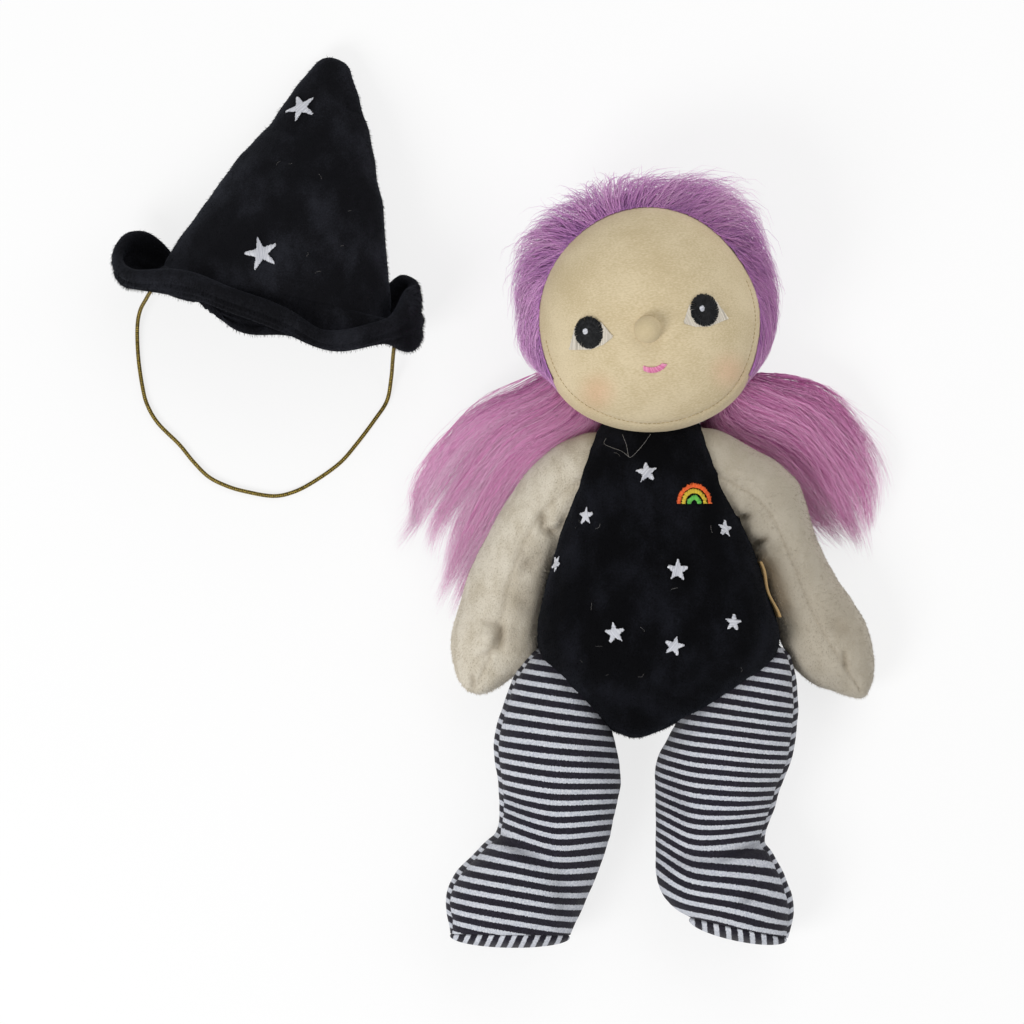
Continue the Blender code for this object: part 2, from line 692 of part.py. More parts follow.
def mouth_edges():
    """The two edges of a short smile that lies along the lower part of a circle."""
    steps = 8
    edges = []
    for sign in (1, -1):
        edge = []
        for k in range(steps + 1):
            share = k / steps
            turn = -math.pi / 2 + MOUTH_SWEEP * (share - 0.5)
            taper = 0.35 + 0.65 * math.sin(math.pi * share)
            radius = MOUTH_RADIUS + sign * MOUTH_THICK / 2 * taper
            x = MOUTH_PLACE[0] + radius * math.cos(turn)
            y = MOUTH_PLACE[1] + MOUTH_RADIUS + radius * math.sin(turn)
            edge.append(on_face(x, y))
        edges.append(edge)
    return edges


def star_outline(x, y, radius, turn):
    """The ten corners of a five-pointed star, in metres, from sizes in millimetres."""
    outline = []
    for k in range(10):
        angle = math.radians(90 + turn + 36 * k)
        reach = radius * MM * (STAR_WAIST if k % 2 else 1.0)
        outline.append((x * MM + reach * math.cos(angle), y * MM + reach * math.sin(angle)))
    return outline


def make_chest(tree):
    """Embroidered stars and rainbow on the front of the torso."""
    for number, star in enumerate(STARS, 1):
        patch(f"star_{number}", star_outline(*star), tree, THREAD_LIFT, "white_thread", 2, wrapped_round)
    for colour, outer, inner in RAINBOW_BANDS:
        edges = [[], []]
        steps = 10
        for edge, radius in zip(edges, (outer, inner)):
            for k in range(steps + 1):
                angle = math.pi * k / steps
                x = RAINBOW_CENTRE[0] + radius * math.cos(angle)
                edge.append((x, RAINBOW_CENTRE[1] + radius * math.sin(angle)))
        strip(f"rainbow_{colour}", *edges, tree, f"{colour}_thread")


def strip(name, outer, inner, tree, finish):
    """A curved band of thread that follows the surface, between an outer and an inner edge."""
    count = len(outer)
    low = [(x, y, height_at(tree, x, y) + THREAD_LIFT) for x, y in list(outer) + list(inner)]
    high = [(x, y, z + THREAD_THICK) for x, y, z in low]
    total = len(low)
    faces = [(k, k + 1, count + k + 1, count + k) for k in range(count - 1)]
    faces += [tuple(i + total for i in reversed(f)) for f in faces]
    rim = list(range(count)) + list(range(total - 1, count - 1, -1))
    for a, b in zip(rim, rim[1:] + rim[:1]):
        faces.append((a, b, b + total, a + total))
    add_object(name, low + high, faces, finish)


def make_tab(torso_rings, cutters):
    """A plain woven tab that stands out of the doll's left side seam."""
    edge = torso_rings[:, 0]
    order = np.argsort(edge[:, 1])
    points = []
    steps = 4
    for k in range(steps + 1):
        y = TAB_MIDDLE_Y + TAB_LENGTH * (k / steps - 0.5)
        x = float(np.interp(y, edge[order, 1], edge[order, 0]))
        for across in (-TAB_THICK / 2, TAB_THICK / 2):
            for up in (0.0, TAB_HEIGHT):
                points.append((x + across, y, TAB_ROOT_HEIGHT + up))
    faces = [(0, 1, 3, 2), (4 * steps, 4 * steps + 2, 4 * steps + 3, 4 * steps + 1)]
    for k in range(steps):
        a = 4 * k
        b = a + 4
        faces += [(a, b, b + 1, a + 1), (a + 2, a + 3, b + 3, b + 2)]
        faces += [(a, a + 2, b + 2, b), (a + 1, b + 1, b + 3, a + 3)]
    tab = add_object("side_tab", points, faces, "tan_ribbon")
    cut_back(tab, cutters)


def make_sole(name, ribs):
    """The sole of a foot: a plate over the open end of the leg."""
    rings = pouch(ribs, 2 * PANEL_SEGMENTS, LIMB_ROUNDNESS)
    end = offset(rings, 0.0)[-1]
    away = np.cross(end[0] - end[PANEL_SEGMENTS], np.array((0.0, 0.0, 1.0)))
    away = away / np.linalg.norm(away)
    if away @ (end.mean(axis=0) - rings[-2].mean(axis=0)) < 0:
        away = -away
    near = end + away * SEAM_GAP
    rounded = end.mean(axis=0) + (end - end.mean(axis=0)) * 0.93
    far = rounded + away * (SEAM_GAP + CLOTH)
    far[:, 2] = np.maximum(far[:, 2], 0.0)
    add_object(name, *closed_pouch(np.array([near, far])), "striped_jersey")


def make_hat():
    """A one-piece cone, its wavy brim and its stars."""
    rings = pouch(HAT_RIBS, HAT_SEGMENTS, HAT_ROUNDNESS)
    outer = offset(rings, 0.0)
    inner = offset(rings, -HAT_FELT)
    add_object("hat_cone", *bowl(outer, inner), "black_velour")
    axis, lip = mouth_axis(outer, inner)
    around = offset(rings, SEAM_GAP)
    covered = np.concatenate([around, around[-1:] + axis * (2 * lip + SEAM_GAP)])
    brim = add_object("hat_brim", *brim_shape((outer[-1] + inner[-1]) / 2, axis, lip), "black_velour")
    cut_back(brim, [add_cutter("hat_envelope", *closed_pouch(covered))])
    cone_tree = tree_of("hat_cone")
    for name, star in HAT_STARS:
        patch(name, star_outline(*star), cone_tree, THREAD_LIFT, "white_thread", 2, wrapped_round)


def mouth_axis(outer, inner):
    """The level direction out of the hat's mouth, and how far the wall's inner edge stands out beyond its middle."""
    axis = outer[-1].mean(axis=0) - outer[-2].mean(axis=0)
    axis[2] = 0.0
    axis /= np.linalg.norm(axis)
    return axis, ((inner[-1] - outer[-1]) @ axis).max() / 2


def brim_shape(mouth, axis, lip):
    """Points and faces of the brim: a wavy band between the cone's mouth and the brim's outer edge."""
    edge = np.array(BRIM_EDGE, float) * MM
    edge_count = len(edge)
    lead = 1
    wrapped = [edge[k % edge_count] for k in range(-lead, edge_count + 2)]
    mouth_count = len(mouth)
    near = []
    far = []
    for k in range(BRIM_SEGMENTS):
        share = k / BRIM_SEGMENTS
        at = share * mouth_count
        low = int(at)
        blend = at - low
        near.append(mouth[low % mouth_count] * (1 - blend) + mouth[(low + 1) % mouth_count] * blend)
        far.append(spline(wrapped, lead + share * edge_count))
    near = np.array(near)
    far = np.array(far)
    tangent = np.roll(far + near, -1, axis=0) - np.roll(far + near, 1, axis=0)
    normal = np.cross(tangent, far - near)
    normal /= np.linalg.norm(normal, axis=1, keepdims=True)
    half = BRIM_THICK / 2
    near += axis * (lip + SEAM_GAP + half * np.abs(normal @ axis)[:, None])
    profile = ((0.0, -1.0), (0.5, -1.0), (0.9, -0.8), (1.0, 0.0), (0.9, 0.8), (0.5, 1.0), (0.0, 1.0))
    rings = []
    for reach, side in profile:
        ring = near + (far - near) * reach + normal * half * side
        ring[:, 2] = np.maximum(ring[:, 2], half * (1 + side * np.sign(normal[:, 2])) * 0.5)
        rings.append(ring)
    rows = len(rings)
    faces = shell_faces(rows, BRIM_SEGMENTS, True)
    last = (rows - 1) * BRIM_SEGMENTS
    for k in range(BRIM_SEGMENTS):
        after = (k + 1) % BRIM_SEGMENTS
        faces.append((k, after, last + after, last + k))
    return list(np.concatenate(rings)), faces


def make_elastic():
    """The hat's thin elastic, lying loose, with both ends at the brim."""
    route = [np.array(point, float) * MM for point in ELASTIC_ROUTE]
    fine = [spline(route, (len(route) - 1) * k / 2000) for k in range(2001)]
    lengths = np.concatenate([[0.0], np.cumsum(np.linalg.norm(np.diff(fine, axis=0), axis=1))])
    count = int(round(lengths[-1] / ELASTIC_STEP))
    wanted = np.linspace(0.0, lengths[-1], count + 1)
    points = np.stack([np.interp(wanted, lengths, np.array(fine)[:, axis]) for axis in range(3)], axis=1)
    curve = bpy.data.curves.new("hat_elastic", "CURVE")
    curve.dimensions = "3D"
    curve.bevel_depth = ELASTIC_RADIUS
    curve.bevel_resolution = 2
    curve.use_fill_caps = True
    line = curve.splines.new("POLY")
    line.points.add(count)
    for place, point in zip(line.points, points):
        place.co = (*point, 1.0)
    cord = bpy.data.objects.new("hat_elastic", curve)
    cord.data.materials.append(material("gold_elastic"))
    bpy.context.scene.collection.objects.link(cord)


def main():
    clear_scene()
    head_envelope, face_tree = make_head()
    wig_envelope = make_wig()
    make_face(face_tree, head_envelope)

    torso = sewn_piece("torso", TORSO_RIBS, TORSO_SEGMENTS, TORSO_ROUNDNESS, "black_velour", [head_envelope])
    torso_envelope = envelope("torso_envelope", torso)
    make_chest(tree_of("torso_front_panel"))

    arm_envelopes = {}
    arms = (
        ("right", ARM_RIBS_RIGHT, ("inner", "outer")),
        ("left", ARM_RIBS_LEFT, ("outer", "inner")),
    )
    for side, ribs, halves in arms:
        cutters = [torso_envelope, head_envelope]
        name = f"arm_{side}"
        arm = sewn_piece(name, ribs, PANEL_SEGMENTS, LIMB_ROUNDNESS, "skin_velour", cutters, halves)
        arm_envelopes[side] = envelope(f"{name}_envelope", arm)
    for side, ribs in (("right", LEG_RIBS_RIGHT), ("left", LEG_RIBS_LEFT)):
        cutters = [torso_envelope, arm_envelopes[side]]
        sewn_piece(f"leg_{side}", ribs, PANEL_SEGMENTS, LIMB_ROUNDNESS, "striped_jersey", cutters)
        make_sole(f"sole_{side}", ribs)
    for side, ribs in (("right", BUNCH_RIBS_RIGHT), ("left", BUNCH_RIBS_LEFT)):
        rings = offset(pouch(ribs, 2 * BUNCH_SEGMENTS, LIMB_ROUNDNESS), 0.0)
        bunch = add_object(f"hair_bunch_{side}", *closed_pouch(rings), "bunch_pile")
        cut_back(bunch, [wig_envelope, head_envelope, torso_envelope, arm_envelopes[side]])
    make_tab(torso, [torso_envelope, arm_envelopes["left"]])
    make_hat()
    make_elastic()


main()
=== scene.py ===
"""Looks of a sewn witch doll that lies on its back, and of the velour hat beside it.

Every soft piece is a loft over ribs. A rib joins the two edges of the flat sewn shape and has a middle height
and a half depth. Fur, stitches and loose threads are polylines that a Geometry Nodes tree turns into tubes.
Left and right are the doll's own. X runs to its left hand, Y to the crown of its head and Z up from its back.
"""

from __future__ import annotations

import logging
import math
from dataclasses import dataclass, field
from enum import Enum
from functools import cache
from typing import Sequence

import bmesh
import bpy
import numpy as np
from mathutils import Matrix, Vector
from mathutils.bvhtree import BVHTree


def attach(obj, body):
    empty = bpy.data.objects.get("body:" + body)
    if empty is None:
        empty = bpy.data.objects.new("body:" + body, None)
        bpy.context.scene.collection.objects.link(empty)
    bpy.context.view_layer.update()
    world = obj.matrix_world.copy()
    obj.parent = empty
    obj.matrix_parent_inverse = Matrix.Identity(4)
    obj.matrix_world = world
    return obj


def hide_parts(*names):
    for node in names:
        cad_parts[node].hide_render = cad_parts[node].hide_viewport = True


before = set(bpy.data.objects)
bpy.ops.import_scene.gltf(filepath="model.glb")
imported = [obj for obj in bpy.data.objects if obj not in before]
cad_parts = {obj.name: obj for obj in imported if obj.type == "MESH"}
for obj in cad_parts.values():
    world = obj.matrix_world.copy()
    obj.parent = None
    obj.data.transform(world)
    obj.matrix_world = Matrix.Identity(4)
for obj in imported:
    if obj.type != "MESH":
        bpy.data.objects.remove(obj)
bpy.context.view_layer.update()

MM = 0.001
DOWN = Vector((0.0, 0.0, -1.0))
EYE_THREAD = 0.17 * MM
STITCH_SIDES = 4
JOIN = 2e-6
log = logging.getLogger("witch_doll")

Array = np.ndarray
Ribs = Sequence[Sequence[float]]
Point2 = tuple[float, float]


class Signal:
    """One output of a node, which may be written in sums and products."""

    def __init__(self, graph: Nodes, socket: bpy.types.NodeSocket) -> None:
        """Keeps the socket and the tree that it belongs to."""
        self.graph = graph
        self.socket = socket

    def _maths(self, operation: str, *values: Signal | float) -> Signal:
        """A Math node on the values."""
        return self.graph.node("ShaderNodeMath", {"operation": operation}, list(values))

    def __add__(self, other: Signal | float) -> Signal:
        """This plus other."""
        return self._maths("ADD", self, other)

    __radd__ = __add__

    def __mul__(self, other: Signal | float) -> Signal:
        """This times other."""
        return self._maths("MULTIPLY", self, other)

    __rmul__ = __mul__

    def __sub__(self, other: Signal | float) -> Signal:
        """This less other."""
        return self._maths("SUBTRACT", self, other)

    def __rsub__(self, other: float) -> Signal:
        """Other less this."""
        return self._maths("SUBTRACT", other, self)

    def __truediv__(self, other: Signal | float) -> Signal:
        """This over other."""
        return self._maths("DIVIDE", self, other)

    def sine(self) -> Signal:
        """The sine of this."""
        return self._maths("SINE", self)

    def other(self, name: str) -> Signal:
        """Another output of the same node."""
        return Signal(self.graph, self.socket.node.outputs[name])

    def step(self, low: float, high: float) -> Signal:
        """A smooth step from 0 where this is low to 1 where it is high."""
        settings = {"interpolation_type": "SMOOTHSTEP"}
        return self.graph.node(
            "ShaderNodeMapRange", settings, {"Value": self, "From Min": low, "From Max": high}
        )


class Nodes:
    """A node tree of any kind."""

    tree: bpy.types.NodeTree

    def node(
        self, kind: str, settings: dict | None = None, values: dict | list = (), out: int | str = 0
    ) -> Signal:
        """Adds a node.

        Args:
            kind: the node's type.
            settings: its properties, set before its sockets.
            values: what its sockets take, by name or in order: a number, a tuple or a signal.
            out: which output to return.

        Returns:
            That output as a signal.
        """
        node = self.tree.nodes.new(kind)
        for key, value in (settings or {}).items():
            setattr(node, key, value)
        for key, value in values.items() if isinstance(values, dict) else enumerate(values):
            socket = node.inputs[key]
            if isinstance(value, Signal):
                self.tree.links.new(value.socket, socket)
            elif socket.type == "RGBA" and len(value) == 3:
                socket.default_value = (*value, 1.0)
            else:
                socket.default_value = value
        return Signal(self, node.outputs[out])


class Graph(Nodes):
    """The node tree of one material."""

    def __init__(self, name: str) -> None:
        """Makes an empty material with its output."""
        self.material = bpy.data.materials.new(name)
        self.material.use_nodes = True
        self.tree = self.material.node_tree
        self.tree.nodes.clear()
        self.output = self.tree.nodes.new("ShaderNodeOutputMaterial")

    def place(self) -> Signal:
        """Where the point is on the object, in metres."""
        return self.node("ShaderNodeTexCoord", out="Object")

    def uv(self) -> Signal:
        """The cloth's own coordinates, in metres."""
        return self.node("ShaderNodeTexCoord", out="UV")

    def axis(self, vector: Signal, name: str) -> Signal:
        """The X, Y or Z of a vector."""
        return self.node("ShaderNodeSeparateXYZ", {}, [vector], name)

    def attribute(self, name: str) -> Signal:
        """The number that an attribute holds."""
        return self.node("ShaderNodeAttribute", {"attribute_name": name}, {}, "Fac")

    def stretched(self, vector: Signal, scale: tuple[float, float, float]) -> Signal:
        """The vector with each axis scaled."""
        return self.node("ShaderNodeVectorMath", {"operation": "MULTIPLY"}, [vector, scale])

    def away(self, place: Signal, x: float, y: float) -> Signal:
        """How far a place is in plan from x and y, which are in millimetres."""
        flat = self.stretched(place, (1.0, 1.0, 0.0))
        return self.node(
            "ShaderNodeVectorMath", {"operation": "DISTANCE"}, [flat, (x * MM, y * MM, 0.0)], "Value"
        )

    def ripple(self, lengths: Signal, pitch: float) -> Signal:
        """The angle in radians of a wave that repeats at every pitch."""
        return lengths * (2 * math.pi / pitch)

    def noise(self, vector: Signal, size: float, detail: float = 2.0) -> Signal:
        """Smooth noise from 0 to 1, with lumps of a size in metres and a number of finer layers."""
        return self.node(
            "ShaderNodeTexNoise", {}, {"Vector": vector, "Scale": 1.0 / size, "Detail": detail}, "Fac"
        )

    def mix(self, share: Signal | float, low: Signal | tuple, high: Signal | tuple) -> Signal:
        """The colour at a share of the way from low to high."""
        return self.node("ShaderNodeMix", {"data_type": "RGBA"}, {0: share, 6: low, 7: high}, 2)

    def bump(self, height: Signal, distance: float, strength: float = 1.0) -> Signal:
        """The normal of a height from 0 to 1, which stands for a distance in metres."""
        return self.node("ShaderNodeBump", {}, {"Strength": strength, "Distance": distance, "Height": height})

    def finish(self, **sockets: Signal | float | tuple) -> bpy.types.Material:
        """Ends the tree in a Principled shader.

        Args:
            **sockets: its inputs, with an underscore for each space.

        Returns:
            The finished material.
        """
        values = {key.replace("_", " "): value for key, value in sockets.items()}
        shader = self.node("ShaderNodeBsdfPrincipled", {}, values)
        self.tree.links.new(shader.socket, self.output.inputs["Surface"])
        return self.material


def srgb(red: float, green: float, blue: float) -> tuple[float, float, float]:
    """The linear colour of a display colour.

    Args:
        red: red from 0 to 255.
        green: green from 0 to 255.
        blue: blue from 0 to 255.

    Returns:
        Three linear values from 0 to 1.
    """
    linear = []
    for value in (red / 255, green / 255, blue / 255):
        linear.append(value / 12.92 if value <= 0.04045 else ((value + 0.055) / 1.055) ** 2.4)
    return tuple(linear)


@dataclass(frozen=True)
class FaceKnit:
    """Smooth brushed knit of the face, with a blush on both cheeks and painted shade on the nose."""

    slot: str = "face_jersey"
    skin: tuple = srgb(219, 203, 170)
    shade: tuple = srgb(196, 178, 141)
    blush: tuple = srgb(232, 150, 118)
    cheeks: tuple = ((-20.4, 60.5), (21.7, 67.3))
    cheek_radius: float = 8.5 * MM
    nose_shade_levels: tuple = (66.5 * MM, 68 * MM)
    stitch: float = 0.42 * MM

    def build(self) -> bpy.types.Material:
        """The material."""
        graph = Graph("face_knit")
        place = graph.place()
        mottle = graph.noise(graph.stretched(place, (0.5, 1.3, 1.0)), 0.5 * MM, 3.0)
        cloud = graph.noise(place, 12 * MM, 2.0)
        colour = graph.mix((mottle * 0.6 + cloud * 0.4).step(0.3, 0.7), self.shade, self.skin)
        # Painted shade: the nose, the highest part of the face, is darkened by its height towards the shade
        # colour.
        colour = graph.mix(graph.axis(place, "Z").step(*self.nose_shade_levels) * 0.6, colour, self.shade)
        for x, y in self.cheeks:
            near = 1.0 - (graph.away(place, x, y) / self.cheek_radius).step(0.0, 1.0)
            soft = near * (0.07 + 0.30 * mottle)
            colour = graph.mix(soft, colour, self.blush)
        wander = graph.noise(place, 3 * MM, 1.0) * 5.0
        wales = (graph.ripple(graph.axis(place, "X"), self.stitch) + wander).sine()
        courses = (graph.ripple(graph.axis(place, "Y"), self.stitch * 0.8) + wander).sine()
        normal = graph.bump(wales * courses * 0.25 + mottle * 0.9, 0.09 * MM, 0.7)
        return graph.finish(
            Base_Color=colour, Roughness=0.92, Sheen_Weight=0.1, Specular_IOR_Level=0.2, Normal=normal
        )


@dataclass(frozen=True)
class SkinPile:
    """Cream short pile of the arms, with painted shade over the left arm, in the folds, and in round spots where
    the pile parts. A shade patch is x, y and radius in millimetres.
    """

    slot: str = "skin_velour"
    pile: tuple = srgb(210, 202, 186)
    brushed: tuple = srgb(188, 178, 159)
    parted_fur_shade: tuple = srgb(138, 124, 104)
    shadow: tuple = srgb(168, 159, 143)
    shade_patches: tuple = (
        (-42.5, 8.0, 7.5), (-45.0, -6.0, 8.5), (-49.0, -18.0, 5.0), (56.0, -12.0, 8.0), (40.0, 28.0, 9.0)
    )

    def build(self) -> bpy.types.Material:
        """The material."""
        graph = Graph("skin_pile")
        place = graph.place()
        nap = graph.noise(place, 0.5 * MM, 4.0)
        strokes = graph.noise(graph.stretched(place, (1.0, 0.5, 1.0)), 4.5 * MM, 4.0)
        colour = graph.mix((nap * 0.4 + strokes * 0.6).step(0.34, 0.6), self.brushed, self.pile)
        # Painted shade near the folds and the thumb notch, where the pile also parts: each spot darkens towards
        # the shaded fur colour.
        for x, y, radius in self.shade_patches:
            near = 1.0 - (graph.away(place, x, y) / (radius * MM) + (strokes - 0.5)).step(0.35, 1.15)
            colour = graph.mix(near * (nap + strokes).step(0.8, 1.25) * 0.5, colour, self.parted_fur_shade)
        # Painted shade: the left arm, at +X on the side away from the key lamp, is darkened towards the shadow
        # colour.
        colour = graph.mix(graph.axis(place, "X").step(0.0, 30 * MM) * 0.7, colour, self.shadow)
        # Painted shade in seams, creases and where the arm is tucked against the torso and head, from the fold
        # mask.
        colour = graph.mix(graph.attribute("fold") * 0.8, colour, self.parted_fur_shade)
        normal = graph.bump(nap * 0.9 + strokes * 0.5, 0.25 * MM, 0.8)
        return graph.finish(
            Base_Color=colour, Roughness=0.95, Sheen_Weight=0.2, Specular_IOR_Level=0.1, Normal=normal
        )


@dataclass(frozen=True)
class DarkPile:
    """Near-black short pile with a blue cast where it is brushed up."""

    slot: str = "black_velour"
    name: str = "dark_pile"
    pile: tuple = srgb(6, 6, 8)
    brushed: tuple = srgb(24, 25, 31)
    sheen: float = 0.035

    def build(self) -> bpy.types.Material:
        """The material."""
        graph = Graph(self.name)
        place = graph.place()
        nap = graph.noise(place, 0.5 * MM, 4.0)
        strokes = graph.noise(graph.stretched(place, (1.0, 0.6, 1.0)), 10 * MM, 4.0)
        colour = graph.mix((nap * 0.35 + strokes * 0.65).step(0.42, 0.72), self.pile, self.brushed)
        normal = graph.bump(nap * 0.9 + strokes * 0.3, 0.3 * MM, 0.8)
        return graph.finish(
            Base_Color=colour,
            Roughness=0.9,
            Sheen_Weight=self.sheen,
            Sheen_Roughness=0.45,
            Sheen_Tint=(0.6, 0.68, 0.9),
            Specular_IOR_Level=0.06,
            Normal=normal,
        )


@dataclass(frozen=True)
class StripedKnit:
    """Brushed knit with dark and pale courses, and painted shade in its seams and folds. Its UV map's V runs
    across the stripes, in metres.
    """

    slot: str = "striped_jersey"
    dark: tuple = srgb(24, 22, 31)
    worn: tuple = srgb(44, 41, 53)
    pale: tuple = srgb(212, 214, 220)
    grey: tuple = srgb(180, 184, 195)
    repeat: float = 3.75 * MM
    dark_share: float = 0.575
    wale: float = 0.55 * MM

    def build(self) -> bpy.types.Material:
        """The material."""
        graph = Graph("striped_knit")
        uv = graph.uv()
        place = graph.place()
        fuzz = graph.noise(graph.stretched(place, (1.6, 0.7, 1.0)), 0.55 * MM, 3.0) - 0.5
        phase = graph.ripple(graph.axis(uv, "Y") + fuzz * (0.8 * MM), self.repeat)
        level = math.cos(math.pi * self.dark_share)
        stripe = phase.sine().step(-level - 0.2, -level + 0.2)
        grain = graph.noise(place, 0.6 * MM, 3.0)
        dark = graph.mix(grain.step(0.3, 0.8), self.dark, self.worn)
        pale = graph.mix(grain.step(0.3, 0.7), self.grey, self.pale)
        # Painted shade: seams, creases and the tuck against the torso darken towards the dark stripe colour,
        # from the fold mask.
        colour = graph.mix(graph.attribute("fold") * 0.6, graph.mix(stripe, dark, pale), self.dark)
        wales = graph.ripple(graph.axis(uv, "X"), self.wale).sine()
        normal = graph.bump(wales * 0.35 + grain * 0.8, 0.14 * MM, 0.8)
        return graph.finish(
            Base_Color=colour, Roughness=0.9, Sheen_Weight=0.08, Specular_IOR_Level=0.2, Normal=normal
        )


@dataclass(frozen=True)
class HairPile:
    """Long silky fibres, deep at the root and pale at the tip."""

    slot: str
    root: tuple
    middle: tuple
    tip: tuple
    roughness: float = 0.5

    def build(self) -> bpy.types.Material:
        """The material."""
        graph = Graph(f"{self.slot}_fibre")
        tint = graph.attribute("tint")
        colour = graph.mix(tint.step(0.0, 0.45), self.root, self.middle)
        colour = graph.mix(tint.step(0.45, 1.0), colour, self.tip)
        colour = graph.mix(graph.attribute("shade"), colour, self.tip)
        return graph.finish(
            Base_Color=colour, Roughness=self.roughness, Specular_IOR_Level=0.35, Sheen_Weight=0.2
        )


@dataclass(frozen=True)
class Thread:
    """Thread of one colour, shiny where it is embroidery silk."""

    slot: str
    colour: tuple
    deep: tuple
    roughness: float = 0.42
    label: str = ""
    gloss: float = 0.5

    def build(self) -> bpy.types.Material:
        """The material."""
        graph = Graph(self.label or f"{self.slot}_silk")
        colour = graph.mix(graph.attribute("shade"), self.colour, self.deep)
        twist = graph.noise(graph.place(), 0.15 * MM, 1.0)
        normal = graph.bump(twist, 0.05 * MM, 0.6)
        return graph.finish(
            Base_Color=colour, Roughness=self.roughness, Specular_IOR_Level=self.gloss, Normal=normal
        )


@dataclass(frozen=True)
class GoldBraid:
    """Braided elastic: olive gold strands with painted shade in the gaps between them."""

    slot: str = "gold_elastic"
    gold: tuple = srgb(190, 164, 70)
    gap: tuple = srgb(70, 58, 22)
    pitch: float = 1.3 * MM
    girth: float = 4.1 * MM
    turns: int = 3

    def build(self) -> bpy.types.Material:
        """The material."""
        graph = Graph("gold_braid")
        uv = graph.uv()
        around = graph.axis(uv, "X") * (2 * math.pi * self.turns / self.girth)
        along = graph.ripple(graph.axis(uv, "Y"), self.pitch)
        braid = ((around + along).sine() * (around - along).sine()).step(-0.5, 0.6)
        flecks = graph.noise(graph.place(), 0.5 * MM, 2.0).step(0.3, 0.6)
        # Painted shade in the gaps between the strands; the flecks are random darker specks.
        colour = graph.mix(braid * flecks, self.gap, self.gold)
        return graph.finish(
            Base_Color=colour, Metallic=0.5, Roughness=0.42, Normal=graph.bump(braid, 0.12 * MM, 0.8)
        )


@dataclass(frozen=True)
class WovenTape:
    """Plain woven tape, with painted shade between its threads."""

    slot: str = "tan_ribbon"
    warp: tuple = srgb(212, 180, 126)
    gap: tuple = srgb(160, 126, 78)
    count: float = 0.5 * MM

    def build(self) -> bpy.types.Material:
        """The material."""
        graph = Graph("woven_tape")
        place = graph.place()
        warp = graph.ripple(graph.axis(place, "Y"), self.count).sine()
        weft = graph.ripple(graph.axis(place, "Z"), self.count).sine()
        weave = (warp * weft).step(-0.8, 0.8)
        # Painted shade: the gaps between warp and weft darken towards the gap colour.
        colour = graph.mix(weave, self.gap, self.warp)
        return graph.finish(Base_Color=colour, Roughness=0.8, Normal=graph.bump(weave, 0.06 * MM))


class Finish(Enum):
    """Every finish of the doll and its hat."""

    FACE = FaceKnit()
    SKIN = SkinPile()
    VELOUR = DarkPile()
    HAT_VELOUR = DarkPile(name="hat_pile", pile=srgb(16, 16, 19), brushed=srgb(38, 39, 45), sheen=0.055)
    STRIPES = StripedKnit()
    WIG = HairPile("wig_pile", srgb(168, 104, 176), srgb(220, 154, 216), srgb(242, 204, 234))
    BUNCH = HairPile("bunch_pile", srgb(176, 66, 146), srgb(236, 150, 208), srgb(250, 216, 238))
    # The black thread's second colour is grey: stitches mixed towards it are painted highlights on the pupils'
    # satin.
    BLACK_THREAD = Thread("black_thread", srgb(7, 7, 9), srgb(32, 33, 36), 0.5, gloss=0.28)
    WHITE_THREAD = Thread("white_thread", srgb(226, 227, 232), srgb(176, 178, 188))
    EYE_WHITE = Thread("white_thread", srgb(230, 222, 208), srgb(184, 176, 162), label="eye_white_silk")
    PINK_THREAD = Thread("pink_thread", srgb(240, 168, 200), srgb(216, 108, 160))
    ORANGE_THREAD = Thread("orange_thread", srgb(244, 112, 44), srgb(204, 78, 24))
    YELLOW_THREAD = Thread("yellow_thread", srgb(226, 200, 60), srgb(178, 150, 36))
    GREEN_THREAD = Thread("green_thread", srgb(116, 204, 88), srgb(64, 154, 60))
    SEWING_THREAD = Thread("white_thread", srgb(196, 172, 126), srgb(156, 132, 90), 0.7, "sewing_thread")
    LINT = Thread("white_thread", srgb(166, 163, 160), srgb(110, 107, 104), 0.8, "lint")
    ELASTIC = GoldBraid()
    RIBBON = WovenTape()

    def material(self) -> bpy.types.Material:
        """This finish's material."""
        return finish_material(self)


@cache
def finish_material(finish: Finish) -> bpy.types.Material:
    """The material of a finish, built on first use."""
    return finish.value.build()


def spline(values: Array, places: Array) -> Array:
    """Values along a smooth curve through evenly spaced rows.

    Args:
        values: the rows to pass through.
        places: where to read, in rows.

    Returns:
        One row for each place.
    """
    last = len(values) - 1
    k = np.clip(places.astype(int), 0, last - 1)
    t = (places - k)[:, None]
    before, start, end, after = (values[np.clip(k + step, 0, last)] for step in (-1, 0, 1, 2))
    return 0.5 * (
        2 * start
        + (end - before) * t
        + (2 * before - 5 * start + 4 * end - after) * t**2
        + (3 * start - before - 3 * end + after) * t**3
    )


def circle(count: int) -> Array:
    """Even angles once round, in radians."""
    return np.linspace(0.0, 2 * math.pi, count, endpoint=False)


def shares(count: int) -> Array:
    """Even steps from 0 to 1, with both ends."""
    return np.linspace(0.0, 1.0, count)


def held(values: Array) -> Array:
    """Values held between 0 and 1."""
    return np.clip(values, 0.0, 1.0)


def joined(points: Array) -> Array:
    """A ring grid with its first column again at the end."""
    return np.concatenate([points, points[:, :1]], axis=1)


def raise_to(points: Array, least: float = 0.0) -> None:
    """Lifts what lies below a height up to it."""
    points[..., 2] = np.maximum(points[..., 2], least)


def unit(vectors: Array, least: float = 1e-12) -> Array:
    """Vectors of length 1, with xyz last."""
    return vectors / np.maximum(np.linalg.norm(vectors, axis=-1, keepdims=True), least)


def running_length(line: Array) -> Array:
    """How far each point of a line is from its start."""
    return np.concatenate([[0.0], np.cumsum(np.linalg.norm(np.diff(line, axis=0), axis=1))])


